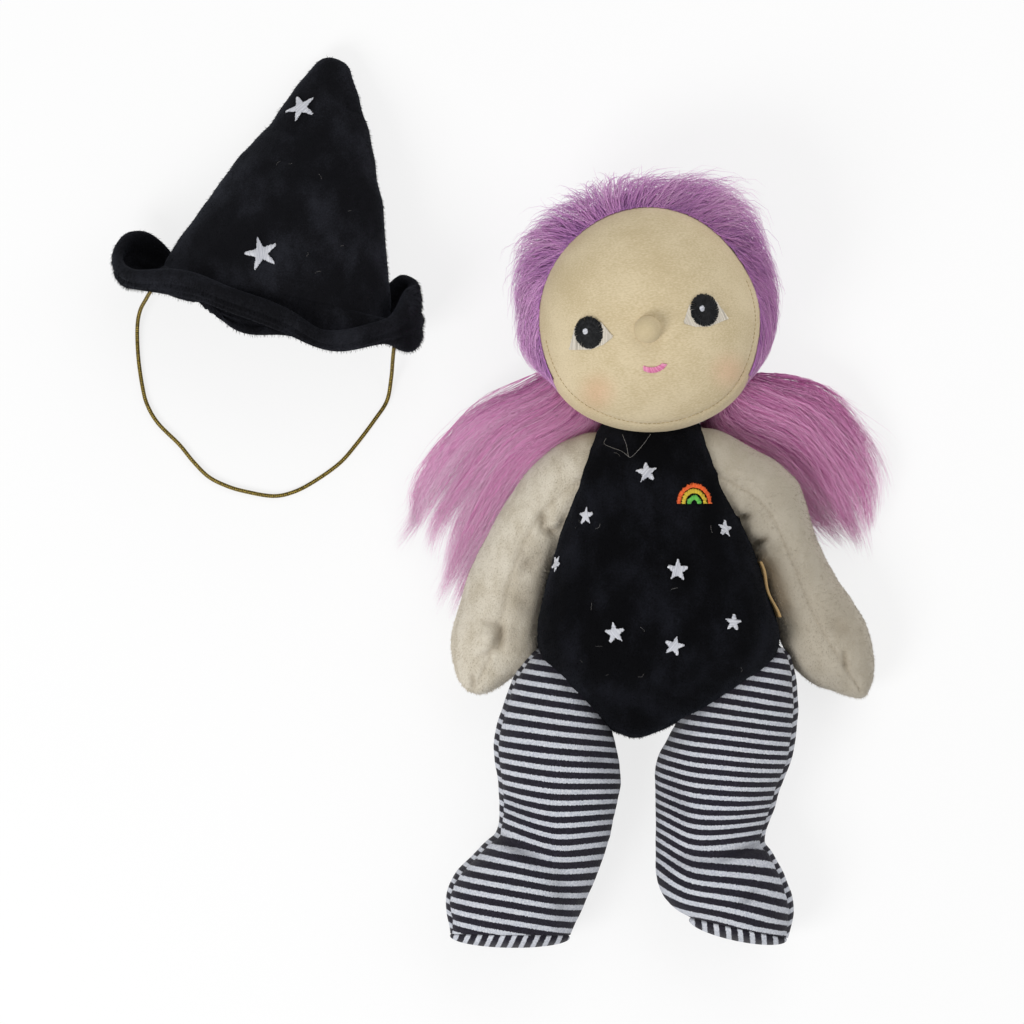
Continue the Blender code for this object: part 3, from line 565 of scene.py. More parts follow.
def bell(gap: Array, width: float) -> Array:
    """1 where the gap is 0, falling off smoothly over the width."""
    return np.exp(-((gap / width) ** 2))


def turned(middle: Array, across: Array, up: Array, turn: Array) -> Array:
    """Points round an upright line through the middle, at a distance across and a height up."""
    x, y = middle[0] + across * np.cos(turn), middle[1] + across * np.sin(turn)
    return np.stack((x, y, middle[2] + up + 0 * turn), axis=-1)


def loft(ribs: Ribs, rows: int, around: int, roundness: float) -> Array:
    """Surface points of a stuffed piece. An end rib without width is rounded off like the end of a cushion.

    Args:
        ribs: right x and y, left x and y, middle height and half depth of each rib, in millimetres.
        rows: how many rows to make from the first rib to the last.
        around: how many points each row has.
        roundness: 2 for an ellipse, more for a boxier section.

    Returns:
        Points as rows, places around and xyz, in metres.
    """
    table = np.array(ribs, float) * MM
    first, second = table[:, 0:2], table[:, 2:4]
    shape = np.column_stack(((first + second) / 2, table[:, 4], (second - first) / 2, table[:, 5]))
    last = len(ribs) - 1
    places = np.linspace(0.0, last, rows)
    closing = np.ones(rows)
    for end, inside, before in ((0, 1, 2), (last, last - 1, last - 2)):
        if np.abs(shape[end, 3:6]).max() > 1e-6:
            continue
        shape[end, 3:6] = shape[inside, 3:6] + 0.6 * (shape[inside, 3:6] - shape[before, 3:6])
        near = np.abs(places - end) < 1.0
        turn = (1.0 - np.abs(places[near] - end)) * math.pi / 2
        closing[near] = np.cos(turn)
        places[near] = inside + (end - inside) * np.sin(turn)
    rows_at = spline(shape, places)
    rows_at[:, 3:6] *= closing[:, None]
    angle = circle(around)
    power = 2.0 / roundness
    across = np.sign(np.cos(angle)) * np.abs(np.cos(angle)) ** power
    up = np.sign(np.sin(angle)) * np.abs(np.sin(angle)) ** power
    points = np.empty((rows, around, 3))
    points[:, :, 0:2] = rows_at[:, None, 0:2] + rows_at[:, None, 3:5] * across[None, :, None]
    points[:, :, 2] = rows_at[:, None, 2] + rows_at[:, None, 5] * up[None, :]
    return points


def grid_normals(points: Array) -> Array:
    """Outward unit normals of a grid whose columns close into rings.

    Args:
        points: its points as rows, places around and xyz.

    Returns:
        One normal for each point.
    """
    along = np.gradient(points, axis=0)
    round_it = np.roll(points, -1, axis=1) - np.roll(points, 1, axis=1)
    normal = unit(np.cross(round_it, along))
    centre = points.mean(axis=1, keepdims=True)
    if (normal * (points - centre)).sum() < 0:
        normal = -normal
    for end, inside in ((0, 1), (-1, -2)):
        if np.ptp(points[end], axis=0).max() < 1e-5:
            axis = points[end].mean(axis=0) - points[inside].mean(axis=0)
            normal[end] = axis / max(np.linalg.norm(axis), 1e-9)
    return normal


def lumps(points: Array, size: float, seed: int) -> Array:
    """Smooth lumps in space, from about -1 to 1.

    Args:
        points: places in metres, with xyz last.
        size: how wide one lump is, in metres.
        seed: which lumps.

    Returns:
        One number for each place.
    """
    random = np.random.default_rng(seed)
    total = np.zeros(points.shape[:-1])
    for _ in range(7):
        direction = random.normal(size=3)
        direction /= np.linalg.norm(direction)
        rate = 2 * math.pi / size * random.uniform(0.35, 1.0)
        total += np.sin(points @ direction * rate + random.uniform(0, 2 * math.pi))
    return total / 3.5


@dataclass(frozen=True)
class Crease:
    """A fold pressed into the cloth along a line seen from above, in millimetres."""

    start: Point2
    end: Point2
    width: float
    depth: float

    def weight(self, points: Array) -> Array:
        """How strongly the fold acts.

        Args:
            points: places in metres, with xyz last.

        Returns:
            One number from 0 to 1 for each place.
        """
        start = np.array(self.start) * MM
        run = np.array(self.end) * MM - start
        flat = points[..., 0:2] - start
        share = held((flat @ run) / (run @ run))
        gap = np.linalg.norm(flat - share[..., None] * run, axis=-1)
        fade = np.sin(math.pi * held(share * 0.9 + 0.05)) ** 0.5
        return bell(gap, self.width * MM) * fade


def creases(*rows: Sequence[float]) -> tuple[Crease, ...]:
    """Creases from rows of their start's x and y, their end's x and y, their width and their depth."""
    return tuple(Crease(row[0:2], row[2:4], row[4], row[5]) for row in rows)


def add_object(name: str, data: bpy.types.ID) -> bpy.types.Object:
    """A new object with the data, linked to the scene."""
    obj = bpy.data.objects.new(name, data)
    bpy.context.scene.collection.objects.link(obj)
    return obj


def make_object(name: str, points: Array, faces: Sequence, finish: Finish) -> bpy.types.Object:
    """A smooth mesh object with one finish.

    Args:
        name: the object's name.
        points: its points, in metres.
        faces: its faces, as tuples of point numbers.
        finish: its finish.

    Returns:
        The object, linked to the scene.
    """
    mesh = bpy.data.meshes.new(name)
    mesh.from_pydata([tuple(p) for p in np.asarray(points).reshape(-1, 3)], [], faces)
    mesh.materials.append(finish.material())
    mesh.shade_smooth()
    return add_object(name, mesh)


def ring_joint(first: int, second: int, count: int) -> list[tuple[int, ...]]:
    """Quads between two rings of count points, which start at the point numbers first and second."""
    after = [(k + 1) % count for k in range(count)]
    return [(first + k, first + after[k], second + after[k], second + k) for k in range(count)]


def ring_faces(rows: int, columns: int, caps: Sequence[int] = ()) -> list[tuple[int, ...]]:
    """Quads of a grid whose columns close into rings, and a face across each row in caps."""
    faces = [
        face for row in range(rows - 1) for face in ring_joint(row * columns, (row + 1) * columns, columns)
    ]
    return faces + [tuple(range(row * columns, (row + 1) * columns)) for row in caps]


def set_uv(mesh: bpy.types.Mesh, panels: Sequence[Array], panel_of: Array) -> None:
    """Gives a ring grid's faces their cloth coordinates.

    Args:
        mesh: a mesh whose first faces are those of ring_faces.
        panels: for each cloth panel, its coordinates as rows, columns plus one, and uv.
        panel_of: which panel each column of faces is cut from.
    """
    layer = mesh.uv_layers.new(name="cloth")
    steps = ((0, 0), (0, 1), (1, 1), (1, 0))
    columns = len(panel_of)
    values = np.zeros((len(mesh.loops), 2))
    for index in range((panels[0].shape[0] - 1) * columns):
        row, column = divmod(index, columns)
        start = mesh.polygons[index].loop_start
        for step, (down, across) in enumerate(steps):
            values[start + step] = panels[panel_of[column]][row + down, column + across]
    layer.data.foreach_set("uv", values.ravel())


def set_attribute(mesh: bpy.types.Mesh, name: str, values: Array) -> None:
    """Stores one number for each point."""
    made = mesh.attributes.new(name, "FLOAT", "POINT")
    made.data.foreach_set("value", np.asarray(values, float).ravel())


def tidy_mesh(obj: bpy.types.Object, cut: bool = False) -> None:
    """Joins points that coincide, closes the poles and turns the faces outwards.

    Args:
        obj: the piece.
        cut: whether some faces were left out, so that loose points go and the hole is closed.
    """
    shape = bmesh.new()
    shape.from_mesh(obj.data)
    bmesh.ops.remove_doubles(shape, verts=shape.verts, dist=JOIN)
    if cut:
        bmesh.ops.delete(shape, geom=[vert for vert in shape.verts if not vert.link_faces], context="VERTS")
        bmesh.ops.holes_fill(shape, edges=[edge for edge in shape.edges if edge.is_boundary], sides=0)
        bmesh.ops.triangulate(shape, faces=[face for face in shape.faces if len(face.verts) > 4])
    bmesh.ops.recalc_face_normals(shape, faces=shape.faces)
    shape.to_mesh(obj.data)
    shape.free()


def surface_tree(obj: bpy.types.Object) -> BVHTree:
    """A search tree over an object's mesh."""
    points = [vertex.co.copy() for vertex in obj.data.vertices]
    return BVHTree.FromPolygons(points, [tuple(face.vertices) for face in obj.data.polygons])


def grid_tree(points: Array) -> BVHTree:
    """A search tree over a grid whose columns close into rings."""
    rows, columns = points.shape[:2]
    return BVHTree.FromPolygons(points.reshape(-1, 3).tolist(), ring_faces(rows, columns))


def gaps_to(tree: BVHTree, points: Array) -> Array:
    """How far each point of a grid is from a surface, in metres."""
    flat = [tree.find_nearest(Vector(point))[3] for point in points.reshape(-1, 3)]
    return np.array(flat).reshape(points.shape[:2])


def dress(
    obj: bpy.types.Object, finish: Finish, nodes: Sequence[str] = ()
) -> None:
    """Hangs a finished piece on the frame and reports it.

    Args:
        obj: the piece.
        finish: its finish.
        nodes: the frame's nodes that it stands for.
    """
    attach(obj, "root")
    if nodes:
        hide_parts(*nodes)
    log.info("%s: %d faces, %s", obj.name, len(obj.data.polygons), finish.name.lower())


class GeometryTree(Nodes):
    """A Geometry Nodes tree with named inputs."""

    def __init__(self, name: str, inputs: dict[str, str]) -> None:
        """Makes the tree's interface.

        Args:
            name: the tree's name.
            inputs: the kind of each input but the geometry.
        """
        self.tree = bpy.data.node_groups.new(name, "GeometryNodeTree")
        self._socket("Geometry", "Geometry", "INPUT")
        self.inputs = {label: self._socket(label, kind, "INPUT") for label, kind in inputs.items()}
        self._socket("Geometry", "Geometry", "OUTPUT")
        self.entry = self.tree.nodes.new("NodeGroupInput")

    def _socket(self, label: str, kind: str, way: str) -> str:
        """Adds a socket to the interface and gives its identifier."""
        return self.tree.interface.new_socket(label, in_out=way, socket_type=f"NodeSocket{kind}").identifier

    def given(self, name: str) -> Signal:
        """One of the tree's inputs."""
        return Signal(self, self.entry.outputs[name])

    def end(self, geometry: Signal) -> None:
        """Realises the geometry, gives it its material and ends the tree."""
        real = self.node("GeometryNodeRealizeInstances", {}, [geometry])
        dressed = self.node(
            "GeometryNodeSetMaterial", {}, {"Geometry": real, "Material": self.given("Material")}
        )
        self.tree.links.new(dressed.socket, self.tree.nodes.new("NodeGroupOutput").inputs[0])

    def bake(self, name: str, source: bpy.types.Mesh, finish: Finish, **values: object) -> bpy.types.Object:
        """Runs the tree on a mesh.

        Args:
            name: the new object's name.
            source: the mesh that the tree starts from.
            finish: the new object's finish.
            **values: the tree's other inputs.

        Returns:
            A plain mesh object.
        """
        obj = add_object(name, source)
        modifier = obj.modifiers.new(self.tree.name, "NODES")
        modifier.node_group = self.tree
        for key, value in {**values, "Material": finish.material()}.items():
            modifier[self.inputs[key]] = value
        mesh = bpy.data.meshes.new_from_object(obj.evaluated_get(bpy.context.evaluated_depsgraph_get()))
        obj.modifiers.remove(modifier)
        obj.data = mesh
        mesh.name = name
        return obj


class TubeTree(GeometryTree):
    """Turns polylines into tapered tubes."""

    def __init__(self) -> None:
        """Builds the tree once."""
        super().__init__("tubes_along_lines", {"Radius": "Float", "Sides": "Int", "Material": "Material"})
        girth = self.node(
            "GeometryNodeInputNamedAttribute", {"data_type": "FLOAT"}, {"Name": "girth"}, "Attribute"
        )
        profile = self.node(
            "GeometryNodeCurvePrimitiveCircle", {}, {"Resolution": self.given("Sides"), "Radius": 1.0}
        )
        lines = self.node("GeometryNodeMeshToCurve", {}, [self.given("Geometry")])
        size = self.given("Radius") * girth
        tubes = self.node("GeometryNodeCurveToMesh", {}, {0: lines, 1: profile, 2: size, "Fill Caps": True})
        self.end(self.node("GeometryNodeSetShadeSmooth", {}, [tubes]))

    def make(
        self,
        name: str,
        lines: Lines,
        radius: float,
        finish: Finish,
        nodes: Sequence[str] = (),
        sides: int = 3,
    ) -> None:
        """Makes one piece of tubes along the lines.

        Args:
            name: the piece's name.
            lines: the polylines and what they carry.
            radius: the tubes' radius where girth is 1, in metres.
            finish: their finish.
            nodes: the frame's nodes that they stand for.
            sides: how many sides a tube has.
        """
        dress(self.bake(name, lines.mesh(name), finish, Radius=radius, Sides=sides), finish, nodes)

    def sew(self, node: str, lines: Lines, radius: float, finish: Finish) -> None:
        """Makes the stitches that stand for a node of the frame."""
        self.make(f"{node}_stitches", lines, radius, finish, (node,), STITCH_SIDES)


class PileTree(GeometryTree):
    """Plants short fibres on a cloth surface, but not on its underside."""

    LOWEST_FACING = -0.3
    LEAST_HEIGHT = 0.02 * MM
    WIDTH = 0.075 * MM
    NAP = (0.25, -1.1, 0.0)
    JITTER = 0.55

    def __init__(self) -> None:
        """Builds the tree once."""
        kinds = {"Density": "Float", "Length": "Float", "Width": "Float", "Nap": "Vector", "Seed": "Int"}
        super().__init__("pile_on_cloth", {**kinds, "Material": "Material"})
        seed = self.given("Seed")
        facing = self.node("ShaderNodeSeparateXYZ", {}, [self.node("GeometryNodeInputNormal")], "Z")
        upward = self.node("ShaderNodeMath", {"operation": "GREATER_THAN"}, [facing, self.LOWEST_FACING])
        spread = {
            "Mesh": self.given("Geometry"), "Selection": upward, "Density": self.given("Density"), "Seed": seed
        }
        roots = self.node("GeometryNodeDistributePointsOnFaces", {}, spread)
        ends = {0: (-self.JITTER,) * 3, 1: (self.JITTER,) * 3, "Seed": seed}
        jitter = self.node("FunctionNodeRandomValue", {"data_type": "FLOAT_VECTOR"}, ends)
        leaning = self.node(
            "ShaderNodeVectorMath", {"operation": "ADD"}, [roots.other("Normal"), self.given("Nap")]
        )
        uneven = self.node("ShaderNodeVectorMath", {"operation": "ADD"}, [leaning, jitter])
        turn = self.node("FunctionNodeAlignRotationToVector", {"axis": "Z"}, {"Vector": uneven})
        cone = {
            "Vertices": 3, "Radius Top": 0.0, "Radius Bottom": self.given("Width"), "Depth": self.given("Length")
        }
        fibre = self.node("GeometryNodeMeshCone", {}, cone)
        size = self.node("FunctionNodeRandomValue", {"data_type": "FLOAT"}, {2: 0.6, 3: 1.2}, 1)
        planting = {"Points": roots, "Instance": fibre, "Rotation": turn, "Scale": size}
        self.end(self.node("GeometryNodeInstanceOnPoints", {}, planting))

    def plant(self, cloth: bpy.types.Object, count: int, length: float, finish: Finish, seed: int) -> None:
        """Plants pile on a piece of cloth.

        Args:
            cloth: the piece that the fibres stand on.
            count: about how many fibres there are.
            length: how long a fibre is, in metres.
            finish: the fibres' finish.
            seed: what makes them uneven.
        """
        area = sum(face.area for face in cloth.data.polygons if face.normal.z > self.LOWEST_FACING)
        sizes = {
            "Density": count / area, "Length": length, "Width": self.WIDTH, "Nap": self.NAP, "Seed": seed
        }
        pile = self.bake(f"{cloth.name}_pile", cloth.data.copy(), finish, **sizes)
        spots = np.empty(3 * len(pile.data.vertices))
        pile.data.vertices.foreach_get("co", spots)
        raise_to(spots.reshape(-1, 3), self.LEAST_HEIGHT)
        pile.data.vertices.foreach_set("co", spots)
        dress(pile, finish)


@dataclass(frozen=True)
class Workshop:
    """The two trees that every sub-assembly shares."""

    tubes: TubeTree
    pile: PileTree


@dataclass
class Lines:
    """Polylines with a girth, a tint and a shade at each point."""

    points: list[Array] = field(default_factory=list)
    girths: list[Array] = field(default_factory=list)
    tints: list[Array] = field(default_factory=list)
    shades: list[Array] = field(default_factory=list)

    def add(
        self, line: Array, girth: Array | float = 1.0, tint: Array | float = 0.0, shade: float = 0.0
    ) -> None:
        """Adds a line.

        Args:
            line: its points, in metres.
            girth: how thick it is at each point, as a share of the radius.
            tint: 0 at a root, 1 at a tip.
            shade: how far the whole line is from the plain colour.
        """
        count = len(line)
        self.points.append(np.asarray(line, float))
        self.girths.append(np.broadcast_to(girth, count))
        self.tints.append(np.broadcast_to(tint, count))
        self.shades.append(np.broadcast_to(shade, count))

    def mesh(self, name: str) -> bpy.types.Mesh:
        """The lines as a mesh of edges.

        Args:
            name: the mesh's name.

        Returns:
            The mesh, with the girth, tint and shade of each point.
        """
        edges = []
        start = 0
        for line in self.points:
            edges += [(start + k, start + k + 1) for k in range(len(line) - 1)]
            start += len(line)
        mesh = bpy.data.meshes.new(name)
        mesh.from_pydata(np.concatenate(self.points).tolist(), edges, [])
        for label, values in (("girth", self.girths), ("tint", self.tints), ("shade", self.shades)):
            set_attribute(mesh, label, np.concatenate(values))
        return mesh


class Lay(Enum):
    """How a flat shape is laid on a surface."""

    FROM_ABOVE = "from above"
    WRAPPED = "wrapped round"


@dataclass
class Ground:
    """The cloth that embroidery is sewn on."""

    tree: BVHTree
    lay: Lay = Lay.FROM_ABOVE

    def rise(self, spots: Array, centre: Array, lift: Array) -> Array:
        """Puts flat points on the cloth.

        Args:
            spots: places in plan, in metres.
            centre: the middle of the shape in plan.
            lift: how far above the cloth each point lies.

        Returns:
            The places in space.
        """
        out = np.empty((len(spots), 3))
        if self.lay is Lay.FROM_ABOVE:
            for k, (x, y) in enumerate(spots):
                hit, up = self.tree.ray_cast(Vector((x, y, 1.0)), DOWN)[:2]
                out[k] = hit + up * float(lift[k]) if hit else (x, y, 0.0)
            return out
        middle, up = self.tree.ray_cast(Vector((*centre, 1.0)), DOWN)[:2]
        across = (Vector((1.0, 0.0, 0.0)) - up * up.x).normalized()
        along = up.cross(across)
        for k, (x, y) in enumerate(spots):
            flat = middle + across * (x - centre[0]) + along * (y - centre[1]) + up * MM
            place, normal = self.tree.find_nearest(flat)[:2]
            out[k] = place + normal * float(lift[k])
        return out


@dataclass
class SatinPatch:
    """A flat shape filled with parallel stitches."""

    outline: Array
    angle: float = 0.0
    spacing: float = 0.26 * MM
    lift: float = 0.25 * MM
    arch: float = 0.18 * MM
    ragged: float = 0.12 * MM

    def lines(self, ground: Ground, seed: int) -> Lines:
        """The stitches.

        Args:
            ground: the cloth under them.
            seed: what makes their ends uneven.

        Returns:
            The stitches as lines.
        """
        random = np.random.default_rng(seed)
        turn = np.array(
            ((math.cos(self.angle), math.sin(self.angle)), (-math.sin(self.angle), math.cos(self.angle)))
        )
        centre = self.outline.mean(axis=0)
        shape = (self.outline - centre) @ turn.T
        made = Lines()
        for level in np.arange(shape[:, 1].min() + self.spacing / 2, shape[:, 1].max(), self.spacing):
            crossings = []
            for a, b in zip(shape, np.roll(shape, -1, axis=0)):
                if (a[1] - level) * (b[1] - level) < 0:
                    crossings.append(a[0] + (b[0] - a[0]) * (level - a[1]) / (b[1] - a[1]))
            crossings.sort()
            for start, end in zip(crossings[::2], crossings[1::2]):
                if end - start < self.spacing:
                    continue
                start -= random.uniform(0, self.ragged)
                end += random.uniform(0, self.ragged)
                share = shares(5)
                flat = np.column_stack((start + (end - start) * share, np.full(5, level)))
                flat[:, 1] += random.uniform(-0.06, 0.06) * MM
                lift = self.lift + self.arch * np.sin(math.pi * share)
                made.add(ground.rise(flat @ turn + centre, centre, lift), shade=random.uniform(0.0, 0.8))
        return made


def star_outline(x: float, y: float, radius: float, turn: float, waist: float = 0.42) -> Array:
    """The ten corners of a five-pointed star.

    Args:
        x: its middle, in millimetres.
        y: its middle, in millimetres.
        radius: from its middle to a tip, in millimetres.
        turn: how far it is turned, in degrees.
        waist: how far out the notches are, as a share of the radius.

    Returns:
        The corners, in metres.
    """
    angle = np.radians(90 + turn + 36 * np.arange(10))
    reach = np.where(np.arange(10) % 2, waist, 1.02) * radius * MM
    return np.column_stack((x * MM + reach * np.cos(angle), y * MM + reach * np.sin(angle)))


@dataclass
class StuffedPiece:
    """A closed cloth piece filled with fibre."""

    name: str
    ribs: Ribs
    finish: Finish
    nodes: tuple[str, ...]
    rows: int = 100
    around: int = 96
    roundness: float = 2.1
    seams: tuple[float, ...] = (0.0, 180.0)
    seam_depth: float = 0.45 * MM
    creases: tuple[Crease, ...] = ()
    lump: float = 0.45 * MM
    tuck: float = 0.5 * MM
    tuck_width: float = 1.8 * MM
    fill: float = 0.85
    seed: int = 1

    def skin(self) -> Array:
        """The smooth surface, before any fold."""
        return loft(self.ribs, self.rows, self.around, self.roundness)

    def surface(self, neighbours: Sequence[BVHTree]) -> tuple[Array, Array]:
        """The surface with its lumps, seams, folds and the valleys where it is sewn to its neighbours.

        Args:
            neighbours: the surfaces of the pieces that it meets.

        Returns:
            Its points, and how deep in a fold each one lies, as a mask of painted shade for the finishes.
        """
        points = self.skin()
        normals = grid_normals(points)
        angle = np.degrees(circle(self.around))
        push = self.lump * lumps(points, 16 * MM, self.seed)
        push = push + self.lump * 0.4 * lumps(points, 6 * MM, self.seed + 9)
        middle = points.mean(axis=1, keepdims=True)
        length = running_length(middle[:, 0])
        ends = held(np.minimum(length, length[-1] - length) / (4 * MM))[:, None]
        # The fold mask is painted shade: seams, creases and the tucks against neighbours darken the cloth's
        # colour.
        fold = np.zeros(points.shape[:2])
        radius = np.linalg.norm(points - middle, axis=2)
        for seam in self.seams:
            away = np.abs((angle[None, :] - seam + 180) % 360 - 180)
            gap = np.radians(away) * radius
            pucker = 1.0 + 0.6 * np.sin(length * 2 * math.pi / (3.4 * MM) + seam)[:, None]
            push -= ends * self.seam_depth * bell(gap, 0.8 * MM)
            push -= ends * self.seam_depth * 0.4 * pucker * bell(gap, 3.0 * MM)
            fold = np.maximum(fold, 0.3 * ends * bell(gap, 0.5 * MM))
        facing_up = held(normals[:, :, 2] + 0.35)
        for crease in self.creases:
            weight = crease.weight(points) * facing_up
            push -= crease.depth * MM * weight
            if crease.depth > 0:
                fold = np.maximum(fold, min(0.75, 0.4 * crease.depth) * weight)
        for neighbour in neighbours:
            weight = bell(gaps_to(neighbour, points), self.tuck_width)
            push -= self.tuck * weight
            fold = np.maximum(fold, 0.25 * weight)
        points = points + normals * push[:, :, None]
        raise_to(points)
        return points, fold

    def panels(self, points: Array) -> tuple[list[Array], Array]:
        """Cloth coordinates.

        Args:
            points: the surface as rows, places around and xyz.

        Returns:
            For each cloth panel its coordinates, and which panel each column is cut from.
        """
        closed = joined(points)
        uv = np.zeros((points.shape[0], points.shape[1] + 1, 2))
        uv[:, 1:, 0] = np.cumsum(np.linalg.norm(np.diff(closed, axis=1), axis=2), axis=1)
        uv[:, :, 1] = -closed[:, :, 1]
        return [uv], np.zeros(points.shape[1], int)

    def build(self, neighbours: Sequence[BVHTree] = ()) -> bpy.types.Object:
        """Makes the piece and hangs it on the frame.

        Args:
            neighbours: the surfaces of the pieces that it meets.

        Returns:
            The object.
        """
        points, fold = self.surface(neighbours)
        rows, around = points.shape[:2]
        caps = [row for row in (0, rows - 1) if np.ptp(points[row], axis=0).max() > 1e-5]
        obj = make_object(self.name, points, ring_faces(rows, around, caps), self.finish)
        set_uv(obj.data, *self.panels(points))
        # The fold attribute carries the mask of painted shade to the finish.
        set_attribute(obj.data, "fold", fold)
        tidy_mesh(obj)
        dress(obj, self.finish, self.nodes)
        return obj


@dataclass
class StripedLeg(StuffedPiece):
    """A leg whose front stripes slant and kink, and whose back panel's stripes don't match the front's.

    A slant is a height and the stripes' slope there on both sides of the kink, in degrees, up towards +X.
    """

    slants: Sequence[Sequence[float]] = ()
    side: str = "right"
    kink: float = -35.0
    soften: float = 4.0
    low_fold: float = 0.0
    high_fold: float = 0.0
    tightness: float = 1.0
    sole_lean: float = 0.0
    back_slope: float = 0.55
    back_shift: float = 1.7 * MM

    def panels(self, points: Array) -> tuple[list[Array], Array]:
        """Cloth coordinates of the front and back panels, with V across the stripes."""
        (plain,), _ = super().panels(points)
        closed = joined(points) / MM
        x = closed[:, :, 0] - self.kink
        y = closed[:, :, 1]
        heights, *sides = zip(*self.slants)
        slopes = [[math.tan(math.radians(angle)) for angle in side] for side in sides]
        low = np.interp(y + self.low_fold * x, heights, slopes[0])
        high = np.interp(y + self.high_fold * x, heights, slopes[1])
        above = 0.5 * (x + np.sqrt(x**2 + self.soften**2))
        below = x - above
        front = plain.copy()
        front[:, :, 1] = -(y - low * below - high * above) * MM * self.tightness
        front[:, :, 1] += 0.35 * MM * lumps(closed * MM, 25 * MM, self.seed + 3)
        outward = math.copysign(1.0, closed[:, :, 0].mean())
        back = plain.copy()
        back[:, :, 1] = -(y - outward * self.back_slope * (x + self.kink)) * MM + self.back_shift
        first, second = sorted(self.seams)
        middle = (np.arange(points.shape[1]) + 0.5) * 360.0 / points.shape[1]
        between_seams = (middle > first) & (middle < second)
        straight_up = (first < 90.0) & (second > 90.0)
        return [front, back], np.where(between_seams == straight_up, 0, 1)

    def build_sole(self) -> None:
        """Makes the domed sole, with its stripes across the foot."""
        ring = self.skin()[-1]
        centre = ring.mean(axis=0)
        away = np.cross(ring[0] - ring[self.around // 2], np.array((0.0, 0.0, 1.0)))
        away *= np.sign(away @ (centre - self.skin()[-6].mean(axis=0))) / np.linalg.norm(away)
        turns = np.linspace(-0.35, math.pi / 2, 16)
        rings = []
        for turn in turns:
            grown = centre + (ring - centre) * max(math.cos(turn), 0.0)
            rings.append(grown + away * (math.sin(turn) * 3.6 + 0.9) * MM)
        points = np.array(rings)
        raise_to(points)
        sole = make_object(
            f"sole_{self.side}_cloth", points, ring_faces(len(turns), self.around, (0,)), self.finish
        )
        closed = joined(points)
        uv = np.stack((closed[:, :, 2], closed[:, :, 0] + self.sole_lean * closed[:, :, 1]), axis=2)
        set_uv(sole.data, [uv], np.zeros(self.around, int))
        tidy_mesh(sole)
        dress(sole, self.finish, (f"sole_{self.side}",))


